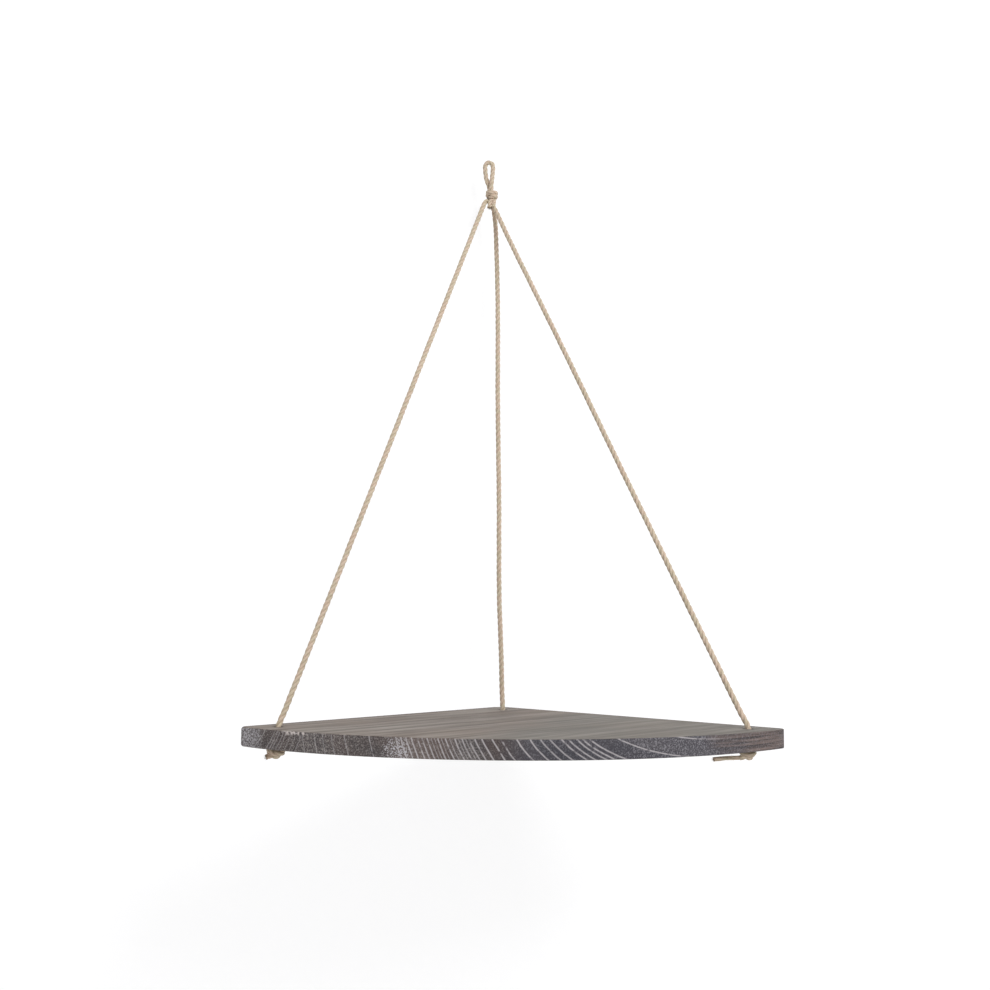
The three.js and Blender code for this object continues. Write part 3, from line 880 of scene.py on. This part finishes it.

# %% [markdown]
# The rope is undyed plant fibre. Its colour changes slowly along the rope and quickly from fibre to
# fibre. The grooves between the strands are painted darker: painted shade, where the strands shade
# each other. The fibres run along each strand, so their noise is stretched along the UV map's second
# coordinate, the distance along the rope. A few darker flecks of bark are left between them. The cut
# ends are browner than the rest.

# %% Rope material
FIBRE_TURNS_PER_METRE = -60.0
FLECKS_BETWEEN = (0.66, 0.74)
GROOVE_SHADE_BETWEEN = (0.72, 0.05)
ROPE_LIGHT, ROPE_MIDDLE, ROPE_DARK = colour(230, 214, 194), colour(211, 193, 171), colour(182, 162, 138)
# The groove colour is painted shade, laid into the grooves between the strands.
ROPE_FLECK, ROPE_GROOVE_SHADE, ROPE_CUT = colour(140, 118, 96), colour(150, 130, 106), colour(146, 122, 96)
ROPE_PINK, ROPE_GREEN = colour(214, 186, 168), colour(194, 186, 158)


def fibre_group():
    """Group: fine fibres that run along a strand and turn slowly round it. Puts out a fibre value
    and masks of the bark flecks, of painted shade in the grooves between the strands and of the cut.
    The groove shade is painted where the cosine of the angle round the strand is small or negative:
    that side faces inwards, into the shade between the strands."""
    tree, source = new_group("strand fibres", {
        "Around and along": "Vector", "Fibres around": "Float", "Fibres per metre": "Float"})
    parts = add(tree, "ShaderNodeSeparateXYZ", {0: source["Around and along"]}).outputs
    around, along = parts["X"], parts["Y"]
    turned = maths(tree, "MULTIPLY_ADD", along, FIBRE_TURNS_PER_METRE, around)
    place = add(tree, "ShaderNodeCombineXYZ", {
        0: maths(tree, "MULTIPLY", turned, source["Fibres around"]),
        1: maths(tree, "MULTIPLY", along, source["Fibres per metre"])}).outputs[0]
    outwards = maths(tree, "COSINE", maths(tree, "MULTIPLY", around, 2 * np.pi))
    put_out(tree, {
        "Fibre": noise(tree, place, 1.0, detail=4.0, roughness=0.65),
        "Flecks": fade(tree, noise(tree, place, 0.45), *FLECKS_BETWEEN),
        # Painted shade: the strands' inward sides, in the grooves.
        "Groove shade": fade(tree, outwards, *GROOVE_SHADE_BETWEEN),
        "Cut": maths(tree, "GREATER_THAN", around, CUT_MARK - 0.5),
    })
    return tree


rope_material, tree, shader = new_material("undyed laid rope", 0.85)
uv = add(tree, "ShaderNodeUVMap", uv_map="UVMap").outputs[0]
fibres = {"Around and along": uv, "Fibres around": 16.0, "Fibres per metre": 160.0}
fibres = add(tree, "ShaderNodeGroup", fibres, node_tree=fibre_group()).outputs
place = add(tree, "ShaderNodeTexCoord").outputs["Object"]
tone = weighed(tree, (fibres["Fibre"], 0.513), (noise(tree, place, 28.0, detail=3.0), 0.285),
               (noise(tree, place, 190.0), 0.1995))
rope_colour = ramp(tree, tone, [(0.3, ROPE_DARK), (0.5, ROPE_MIDDLE), (0.72, ROPE_LIGHT)])
hue = ramp(tree, noise(tree, place, 150.0), [(0.42, ROPE_PINK), (0.58, ROPE_GREEN)])
rope_colour = blended(tree, 0.4, rope_colour, hue)
# The groove mask paints shade into the grooves between the strands.
for mask, share, tint in (("Flecks", 0.4, ROPE_FLECK), ("Groove shade", 0.4, ROPE_GROOVE_SHADE), ("Cut", 0.6, ROPE_CUT)):
    rope_colour = blended(tree, fibres[mask], rope_colour, tint, share)
finish_surface(tree, shader, rope_colour, fibres["Fibre"], 0.4 * MM, 0.8)
shader.inputs["Sheen Weight"].default_value = 0.15
for piece in rope_pieces:
    piece.data.materials.append(rope_material)
print("rope material on", len(rope_pieces), "pieces")

# %% [markdown]
# The board's wood is one solid block of tree rings, so the streaks on its flat faces and the arcs on
# its sawn edge have to come from the same field. The group works that field out from the place in
# the board: how far a point lies from the tree's middle line, the pith, which ran along the grain
# above the board. The grain runs along the left straight side, so the edge shows end grain at the
# left and long grain at the right. Left of a glued joint the board is another plank, whose pith lay
# on the other side, so its rings lean the other way.
# A tree grows more in one year than in another. So the rings' borders are a list of distances from
# the pith, and a second list holds faint lines inside some of the rings. The nodes compare a point's
# distance with three borders at a time, because one vector holds three numbers. They keep the least
# gap, and count the borders passed. A faint line's gap gets a little added, so it comes out thinner,
# and it isn't counted. A colour ramp could hold the lists too, but it is read from a table of 256
# steps, which is too coarse for thin lines. How much wash is left goes with the rings as well, but
# slowly, so a ramp is good enough for that.

# %% Tree rings
GRAIN_DEGREES = 45.0
PITH_FROM_CORNER = 389.5 * MM
PITH_ABOVE_MIDDLE = 59.8 * MM
SECOND_PITH_FROM_CORNER = -20.0 * MM
SECOND_PITH_ABOVE_MIDDLE = 45.0 * MM
JOINT_FROM_CORNER = 87.6 * MM
SECOND_PLANK_SHIFT = 7.0
RING_BORDERS_MM = [54.2, 70.8, 82.8, 86.2, 89.2, 93.2, 96.8, 102.8, 108.2, 114.2, 122.2, 132.2, 137.8, 144.8,
                   149.8, 153.8, 158.8, 163.8, 170.8, 176.8, 185.2, 189.2, 192.8, 197.8, 202.2, 206.8, 211.2,
                   234.8, 258.8, 272.2, 281.8, 290.8, 304.8]
FAINT_LINES_MM = [156.2, 161.3, 167.6, 174.0, 179.4, 182.0]
FAINTER_BY = 0.3 * MM
WASH_REACH_MM = 360.0
WASH_LEFT = [(60, 0.06), (66, 0.12), (74, 0.02), (99, 0.02), (104, 0.1), (120, 0.1), (126, 0.0),
             (143, 0.0), (154, 0.42), (166, 0.4), (170, 0.25), (186, 0.2), (191, 0.55), (214, 0.55),
             (228, 0.12), (262, 0.1), (268, 0.25), (310, 0.3)]
WASH_UNEVENNESS = 0.4
grain = np.array([np.cos(np.radians(GRAIN_DEGREES)), np.sin(np.radians(GRAIN_DEGREES))])
across_grain = np.array([grain[1], -grain[0]])


def vector_maths(tree, operation, first, second=(0.0, 0.0, 0.0)):
    """One step of arithmetic on vectors; a product or a distance comes out as a value."""
    node = add(tree, "ShaderNodeVectorMath", {0: first, 1: second}, operation=operation)
    return node.outputs["Value" if operation in ("DOT_PRODUCT", "DISTANCE") else "Vector"]


def from_line(tree, place, direction):
    """How far a place lies beyond the board's corner in a flat direction of length one."""
    far = vector_maths(tree, "DOT_PRODUCT", place, (*direction, 0))
    return maths(tree, "SUBTRACT", far, float(direction @ BOARD_CORNER))


def grey(value):
    """A colour whose three parts are one value, for ramps that carry numbers."""
    return (value, value, value, 1.0)


def ring_group():
    """Group: radius = distance from the pith line, made a little wavy. Puts out a mask of the ring
    borders, a value that differs from ring to ring, how much wash is left, broad bands and fine
    streaks along the grain, and the distance from the left straight side, across the grain."""
    tree, source = new_group("tree rings", {"Place": "Vector", "Line width": "Float", "Waviness": "Float"})
    place = source["Place"]
    across = from_line(tree, place, across_grain)
    along = vector_maths(tree, "DOT_PRODUCT", place, (*grain, 0))
    height = add(tree, "ShaderNodeSeparateXYZ", {0: place}).outputs["Z"]
    second_plank = maths(tree, "LESS_THAN", across, JOINT_FROM_CORNER)

    def by_plank(first, second):
        """One number on the main plank and another on the second one."""
        return maths(tree, "MULTIPLY_ADD", second_plank, second - first, first)

    along = maths(tree, "MULTIPLY_ADD", second_plank, SECOND_PLANK_SHIFT, along)

    def grain_noise(crosswise, lengthwise, detail, roughness):
        """Noise with so many waves in a metre across the grain and so many along it."""
        scales = ((across, crosswise), (along, lengthwise), (height, crosswise))
        parts = {n: maths(tree, "MULTIPLY", value, scale) for n, (value, scale) in enumerate(scales)}
        vector = add(tree, "ShaderNodeCombineXYZ", parts).outputs[0]
        return noise(tree, vector, 1.0, detail, roughness)

    wave = maths(tree, "SUBTRACT", grain_noise(45.0, 4.0, 3.0, 0.45), 0.5)
    middle = BOARD_TOP - BOARD_THICKNESS / 2
    pith_height = by_plank(middle + PITH_ABOVE_MIDDLE, middle + SECOND_PITH_ABOVE_MIDDLE)
    sideways = maths(tree, "SUBTRACT", across, by_plank(PITH_FROM_CORNER, SECOND_PITH_FROM_CORNER))
    upwards = maths(tree, "SUBTRACT", height, pith_height)
    squares = maths(tree, "MULTIPLY_ADD", sideways, sideways, maths(tree, "MULTIPLY", upwards, upwards))
    radius = maths(tree, "MULTIPLY_ADD", wave, source["Waviness"], maths(tree, "SQRT", squares))
    wash_stops = [(at / WASH_REACH_MM, grey(wash)) for at, wash in WASH_LEFT]
    wash = ramp(tree, maths(tree, "DIVIDE", radius, WASH_REACH_MM * MM), wash_stops)
    uneven = maths(tree, "SUBTRACT", grain_noise(60.0, 12.0, 2.0, 0.5), 0.5)
    radius_thrice = add(tree, "ShaderNodeCombineXYZ", {0: radius, 1: radius, 2: radius}).outputs[0]
    gaps, passed = (1.0, 1.0, 1.0), (0.0, 0.0, 0.0)
    for borders in np.reshape(RING_BORDERS_MM, (-1, 3)) * MM:
        beyond = vector_maths(tree, "SUBTRACT", radius_thrice, tuple(borders))
        gaps = vector_maths(tree, "MINIMUM", gaps, vector_maths(tree, "ABSOLUTE", beyond))
        passed = vector_maths(tree, "ADD", passed, vector_maths(tree, "SIGN", beyond))
    for faint in np.reshape(FAINT_LINES_MM, (-1, 3)) * MM:
        gap = vector_maths(tree, "ABSOLUTE", vector_maths(tree, "SUBTRACT", radius_thrice, tuple(faint)))
        gaps = vector_maths(tree, "MINIMUM", gaps, vector_maths(tree, "ADD", gap, (FAINTER_BY,) * 3))
    gap = over_all(tree, "MINIMUM", *add(tree, "ShaderNodeSeparateXYZ", {0: gaps}).outputs)
    number = maths(tree, "ROUND", vector_maths(tree, "DOT_PRODUCT", passed, (1.0, 1.0, 1.0)))
    tone = add(tree, "ShaderNodeTexWhiteNoise", {"W": number}, noise_dimensions="1D")
    put_out(tree, {
        "Lines": fade(tree, gap, source["Line width"], 0.0, "SMOOTHSTEP"),
        "Ring tone": tone.outputs["Value"],
        "Wash left": maths(tree, "MULTIPLY_ADD", uneven, WASH_UNEVENNESS, wash, clamp=True),
        "Bands": grain_noise(85.0, 4.0, 4.0, 0.65),
        "Streaks": grain_noise(300.0, 9.0, 5.0, 0.65),
        "Across": across,
    })
    return tree


tree_rings = ring_group()
print("rings:", len(tree_rings.nodes), "nodes,", len(RING_BORDERS_MM), "ring borders")

# %% [markdown]
# Each material of the board places the ring group with values of its own. Two more masks are made
# from the place in the board: patches, where the real board has more or less wash left or browner
# wood, and spots that are spread all over.

# %% Masks in the wood
def ring_nodes(tree, line_width, waviness):
    """The tree ring group in a material, fed by the object's own coordinates."""
    place = add(tree, "ShaderNodeTexCoord").outputs["Object"]
    inputs = {"Place": place, "Line width": line_width, "Waviness": waviness}
    return place, add(tree, "ShaderNodeGroup", inputs, node_tree=tree_rings).outputs


def patch_mask(tree, place, middle_mm, reach_mm):
    """One around the middle, falling smoothly with the distance from 0.4 of the reach to zero at
    the reach."""
    away = vector_maths(tree, "DISTANCE", place, tuple(value * MM for value in middle_mm))
    return fade(tree, away, reach_mm * MM, reach_mm * MM * 0.4, "SMOOTHSTEP")


def spotted(tree, place, scale, low, high, detail=2.0):
    """A mask of small spots: noise stretched so that low gives zero and high gives one."""
    return fade(tree, noise(tree, place, scale, detail), low, high)


sockets = tree_rings.interface.items_tree
print("the ring group puts out:", ", ".join(s.name for s in sockets if s.in_out == "OUTPUT"))

# %% [markdown]
# The flat faces were sanded and washed with thinned white paint, which dried to a matt grey-brown
# with fine long streaks. The tone is a mean of broad bands and fine streaks along the grain. Warmer
# clouds lie over it, and the right part is a little greener. Along the two straight sides the faces
# are painted darker in a band: painted shade, for the shadow on the far arris.

# %% Board faces
FACE_DARK, FACE_MIDDLE, FACE_LIGHT = colour(91, 82, 75), colour(121, 112, 105), colour(149, 142, 135)
FACE_LINE, FACE_WARM = colour(100, 90, 83), colour(126, 110, 98)
# The darkest of these colours is painted shade along the two straight sides.
FACE_GREENER, FACE_ARRIS_SHADE = colour(108, 110, 105), colour(80, 73, 69)
GREENER_DIRECTION = (0.935, -0.355, 0.0)
GREENER_FROM, GREENER_TO = 96 * MM, 146 * MM
ARRIS_SHADE_FROM, ARRIS_SHADE_TO = 10 * MM, 4 * MM
face_material, tree, shader = new_material("washed wood face", 0.75)
place, rings = ring_nodes(tree, line_width=1.6 * MM, waviness=4 * MM)
tone = weighed(tree, (rings["Streaks"], 0.45), (rings["Bands"], 0.55))
face_colour = ramp(tree, tone, [(0.41, FACE_DARK), (0.5, FACE_MIDDLE), (0.59, FACE_LIGHT)])
face_colour = blended(tree, rings["Lines"], face_colour, FACE_LINE, 0.2)
face_colour = blended(tree, spotted(tree, place, 9.0, 0.4, 0.65), face_colour, FACE_WARM, 0.35)
to_right = vector_maths(tree, "DOT_PRODUCT", place, GREENER_DIRECTION)
greener = fade(tree, to_right, GREENER_FROM, GREENER_TO)
face_colour = blended(tree, greener, face_colour, FACE_GREENER, 0.35)
# Painted shade: a darker band along each straight side, for the shadow on the far arris.
for inwards, share in (((1, -1), 0.6), ((-1, -1), 0.3)):
    from_side = from_line(tree, place, np.array(inwards) / np.sqrt(2))
    arris_shade = fade(tree, from_side, ARRIS_SHADE_FROM, ARRIS_SHADE_TO)
    face_colour = blended(tree, arris_shade, face_colour, FACE_ARRIS_SHADE, share)
finish_surface(tree, shader, face_colour, rings["Streaks"], 0.3 * MM, 0.5)
print("face material:", len(tree.nodes), "nodes")

# %% [markdown]
# On the sawn edge the wood is darker. Every ring has a tone of its own, with browner clouds over it
# and bluer grey towards the right. Some rings drank more of the wash than others. At the right end,
# and on the left straight side, the saw ran along the grain, so the wood there shows thin layers in
# place of rings. They are a noise that is squeezed flat in the height.

# %% Sawn edge
EDGE_DARK, EDGE_LIGHT = colour(52, 48, 51), colour(74, 67, 69)
EDGE_BROWN, EDGE_BLUER, EDGE_WASHED = colour(76, 58, 53), colour(52, 54, 66), colour(106, 99, 98)
LAYER_DARK, LAYER_LIGHT = colour(56, 46, 44), colour(120, 103, 96)
LAYER_WAVES_PER_METRE = (14.0, 14.0, 460.0)
BLUER_FROM_MM = (265, 285)
PALE_PATCH_MM = (-251, -281, -707)
edge_material, tree, shader = new_material("washed wood sawn edge", 0.8)
place, rings = ring_nodes(tree, line_width=0.95 * MM, waviness=2 * MM)


def zone(between_mm):
    """A mask on the edge that fades in between two distances from the left straight side."""
    return fade(tree, rings["Across"], between_mm[0] * MM, between_mm[1] * MM)


bluer = zone(BLUER_FROM_MM)
edge_colour = ramp(tree, rings["Ring tone"], [(0.0, EDGE_DARK), (1.0, EDGE_LIGHT)])
browner = over_all(tree, "MULTIPLY", spotted(tree, place, 26.0, 0.42, 0.6, detail=3.0),
                   weighed(tree, (bluer, -0.35), start=0.4))
edge_colour = blended(tree, browner, edge_colour, EDGE_BROWN)
edge_colour = blended(tree, bluer, edge_colour, EDGE_BLUER, 0.5)
edge_colour = blended(tree, rings["Wash left"], edge_colour, EDGE_WASHED, 0.8)
layers = noise(tree, vector_maths(tree, "MULTIPLY", place, LAYER_WAVES_PER_METRE), 1.0, detail=4.0)
layers = ramp(tree, layers, [(0.4, LAYER_DARK), (0.6, LAYER_LIGHT)])
for middle_mm, reach_mm, share, tint in (
        ((-76, -376, -707), 42, 0.4, colour(112, 94, 86)),
        ((276, -294, -699), 62, 0.6, layers),
        (PALE_PATCH_MM, 28, 0.6, colour(108, 105, 109))):
    edge_colour = blended(tree, patch_mask(tree, place, middle_mm, reach_mm), edge_colour, tint, share)
print("sawn edge, wood colour:", len(tree.nodes), "nodes")

# %% [markdown]
# The end grain drank the wash: the dark wood is full of whitish specks the size of its pores, and
# the borders between the rings stand out as thin whitish lines. There are fewer specks where the
# lines are clear, and more where the grain is cut at a slant. Other pores stayed dark. Near the left
# end a crust of dried paint is left under the top face.

# %% Pores, lines and paint on the sawn edge
PORE_DARK, PORE_PALE = colour(36, 34, 38), colour(186, 184, 190)
SPECK_WARM, SPECK_BLUER = colour(168, 161, 156), colour(162, 160, 166)
LINE_WHITE, CRUST_WHITE = colour(184, 179, 181), colour(204, 194, 190)
CLEAR_LINES_FROM_MM = (130, 190)
SLANTED_FROM_MM = (335, 355)
LONG_GRAIN_FROM_MM = (375, 390)
LEFT_SIDE_WITHIN_MM = (3, 1.5)
CRUST_FROM_MM = (5, 2)
clear_lines, left_side = zone(CLEAR_LINES_FROM_MM), zone(LEFT_SIDE_WITHIN_MM)
pale = over_all(tree, "MAXIMUM", patch_mask(tree, place, PALE_PATCH_MM, 26),
                patch_mask(tree, place, (-98, -370, -711), 18))
pores, fine_pores = spotted(tree, place, 700.0, 0.5, 0.62), spotted(tree, place, 1300.0, 0.5, 0.66)
speck = maths(tree, "MAXIMUM", pores, maths(tree, "MULTIPLY", fine_pores, 0.6))
speck_share = weighed(tree, (rings["Wash left"], 0.6), (clear_lines, -0.34),
                      (zone(SLANTED_FROM_MM), 0.26), start=0.5)
speck_share = maths(tree, "MAXIMUM", speck_share, pale, clamp=True)
speck_share = maths(tree, "MULTIPLY", speck_share, weighed(tree, (left_side, -0.85), start=1.0))
speck_colour = blended(tree, bluer, SPECK_WARM, SPECK_BLUER)
edge_colour = blended(tree, left_side, edge_colour, layers, 0.7)
edge_colour = blended(tree, spotted(tree, place, 800.0, 0.56, 0.7), edge_colour, PORE_DARK, 0.6)
edge_colour = blended(tree, maths(tree, "MULTIPLY", speck, speck_share), edge_colour, speck_colour)
edge_colour = blended(tree, maths(tree, "MULTIPLY", pores, pale), edge_colour, PORE_PALE)
layered = over_all(tree, "MAXIMUM", patch_mask(tree, place, (272, -296, -700), 50),
                   patch_mask(tree, place, (230, -328, -685), 42))
edge_colour = blended(tree, layered, edge_colour, layers, 0.55)
line_share = weighed(tree, (rings["Ring tone"], 0.35), (clear_lines, 0.35), start=0.3)
lines = over_all(tree, "MULTIPLY", rings["Lines"], spotted(tree, place, 190.0, 0.26, 0.46), line_share,
                 maths(tree, "SUBTRACT", 1.0, zone(LONG_GRAIN_FROM_MM)))
edge_colour = blended(tree, lines, edge_colour, LINE_WHITE)
height = add(tree, "ShaderNodeSeparateXYZ", {0: place}).outputs["Z"]
near_top = fade(tree, height, *(BOARD_TOP - down_mm * MM for down_mm in CRUST_FROM_MM))
crust = over_all(tree, "MULTIPLY", patch_mask(tree, place, (-197, -323, -698), 26),
                 spotted(tree, place, 330.0, 0.47, 0.56), near_top)
edge_colour = blended(tree, crust, edge_colour, CRUST_WHITE)
finish_surface(tree, shader, edge_colour, speck, 0.3 * MM, 0.4)
print("sawn edge:", len(tree.nodes), "nodes")

# %% [markdown]
# The board is one mesh with two materials. A face of the mesh gets the sawn edge where it stands
# more upright than flat, which is read from the upward part of its normal.

# %% Faces and edge
FLATTEST_EDGE = 0.75
board_piece.data.materials.append(face_material)
board_piece.data.materials.append(edge_material)
facing = np.empty(3 * len(board_piece.data.polygons), np.float32)
board_piece.data.polygons.foreach_get("normal", facing)
upright = (np.abs(facing.reshape(-1, 3)[:, 2]) < FLATTEST_EDGE).astype(np.int32)
board_piece.data.polygons.foreach_set("material_index", upright)
print("board: two materials,", int(upright.sum()), "faces are sawn edge")

# %% [markdown]
# The stage is a pale wall close behind the ropes and a pale floor far below the hanging shelf. The
# wall shows its front only: seen from behind it lets everything through, so that the camera can
# look at the shelf's back. To the camera both are almost white, through Light Path, and that white
# is colour and not more light on the shelf. A weak diffuse part on top of it carries the shadow.

# %% Stage
WALL_BEHIND = 32.0 * MM
FLOOR_HEIGHT = -1250.0 * MM
STAGE_REACH = 3.0
STAGE_WHITE = (0.78, 0.78, 0.785, 1)


def seen_directly(tree):
    """One for a ray from the camera, mirrored or let through, and zero for a ray of plain light."""
    path = add(tree, "ShaderNodeLightPath").outputs
    rays = ("Is Camera Ray", "Is Glossy Ray", "Is Transmission Ray")
    return over_all(tree, "MAXIMUM", *(path[name] for name in rays))


def stage_material(name, one_sided):
    """Diffuse white for the light, and mostly plain white with a little shadow for the camera."""
    material, tree, shader = new_material(name, 0.9)
    shader.inputs["Base Color"].default_value = grey(0.8)
    white = add(tree, "ShaderNodeEmission", {"Color": STAGE_WHITE, "Strength": 1.0}).outputs[0]
    soft = add(tree, "ShaderNodeBsdfDiffuse", {"Color": grey(0.3)}).outputs[0]
    both = add(tree, "ShaderNodeAddShader", {0: white, 1: soft}).outputs[0]
    surfaces = {0: seen_directly(tree), 1: shader.outputs[0], 2: both}
    surface = add(tree, "ShaderNodeMixShader", surfaces).outputs[0]
    if one_sided:
        behind = add(tree, "ShaderNodeNewGeometry").outputs["Backfacing"]
        clear = add(tree, "ShaderNodeBsdfTransparent").outputs[0]
        surface = add(tree, "ShaderNodeMixShader", {0: behind, 1: surface, 2: clear}).outputs[0]
    tree.links.new(surface, tree.nodes["Material Output"].inputs["Surface"])
    return material


def stage_sheet(name, corners, material):
    """One square face, its corners anticlockwise seen from its front."""
    sheet = new_piece(name, np.array(corners, float), [np.array([[0, 1, 2, 3]])])
    sheet.data.materials.append(material)
    sheet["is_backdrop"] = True


r, y, z = STAGE_REACH, WALL_BEHIND, FLOOR_HEIGHT
stage_sheet("wall", [(-r, y, z), (r, y, z), (r, y, r), (-r, y, r)], stage_material("pale wall", True))
stage_sheet("floor", [(-r, -r, z), (r, -r, z), (r, r, z), (-r, r, z)], stage_material("pale floor", False))
print("wall %.0f mm behind the hook, floor %.0f mm below it" % (WALL_BEHIND / MM, -FLOOR_HEIGHT / MM))

# %% [markdown]
# Two lights: an even white world, and one large soft lamp in front, high and to the right, which
# gives the ropes a light side and a shaded side and throws the soft shadow on the wall to the left.
# The world's light is below full strength, but the camera sees it as plain white, like the stage.

# %% Light
WORLD_STRENGTH = 0.62
LAMP_POWER = 34.0
LAMP_SIZE = 0.9
LAMP_PLACE = Vector((1.2, -2.1, 0.9))
LAMP_AIM = Vector((0, -0.1, -0.4))
world = bpy.data.worlds.new("even white")
world.use_nodes = True
tree = world.node_tree
background = tree.nodes["Background"]
background.inputs["Color"].default_value = (1, 1, 1, 1)
strength = maths(tree, "MULTIPLY_ADD", seen_directly(tree), 1.0 - WORLD_STRENGTH, WORLD_STRENGTH)
tree.links.new(strength, background.inputs["Strength"])
bpy.context.scene.world = world
lamp = bpy.data.lights.new("soft lamp", "AREA")
lamp.shape, lamp.size, lamp.energy = "DISK", LAMP_SIZE, LAMP_POWER
lamp_object = bpy.data.objects.new("soft lamp", lamp)
lamp_object.location = LAMP_PLACE
lamp_object.rotation_euler = (LAMP_AIM - LAMP_PLACE).to_track_quat("-Z", "Y").to_euler()
bpy.context.scene.collection.objects.link(lamp_object)
bpy.context.scene.view_settings.view_transform = "Standard"
print("lamp of %.0f W, %.1f m across" % (LAMP_POWER, LAMP_SIZE))

# %% Finish
sizes = {"cad": cad_box, "visual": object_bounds()}
sizes = {name: [[float(v) for v in corner] for corner in box] for name, box in sizes.items()}
print("sizes:", sizes)
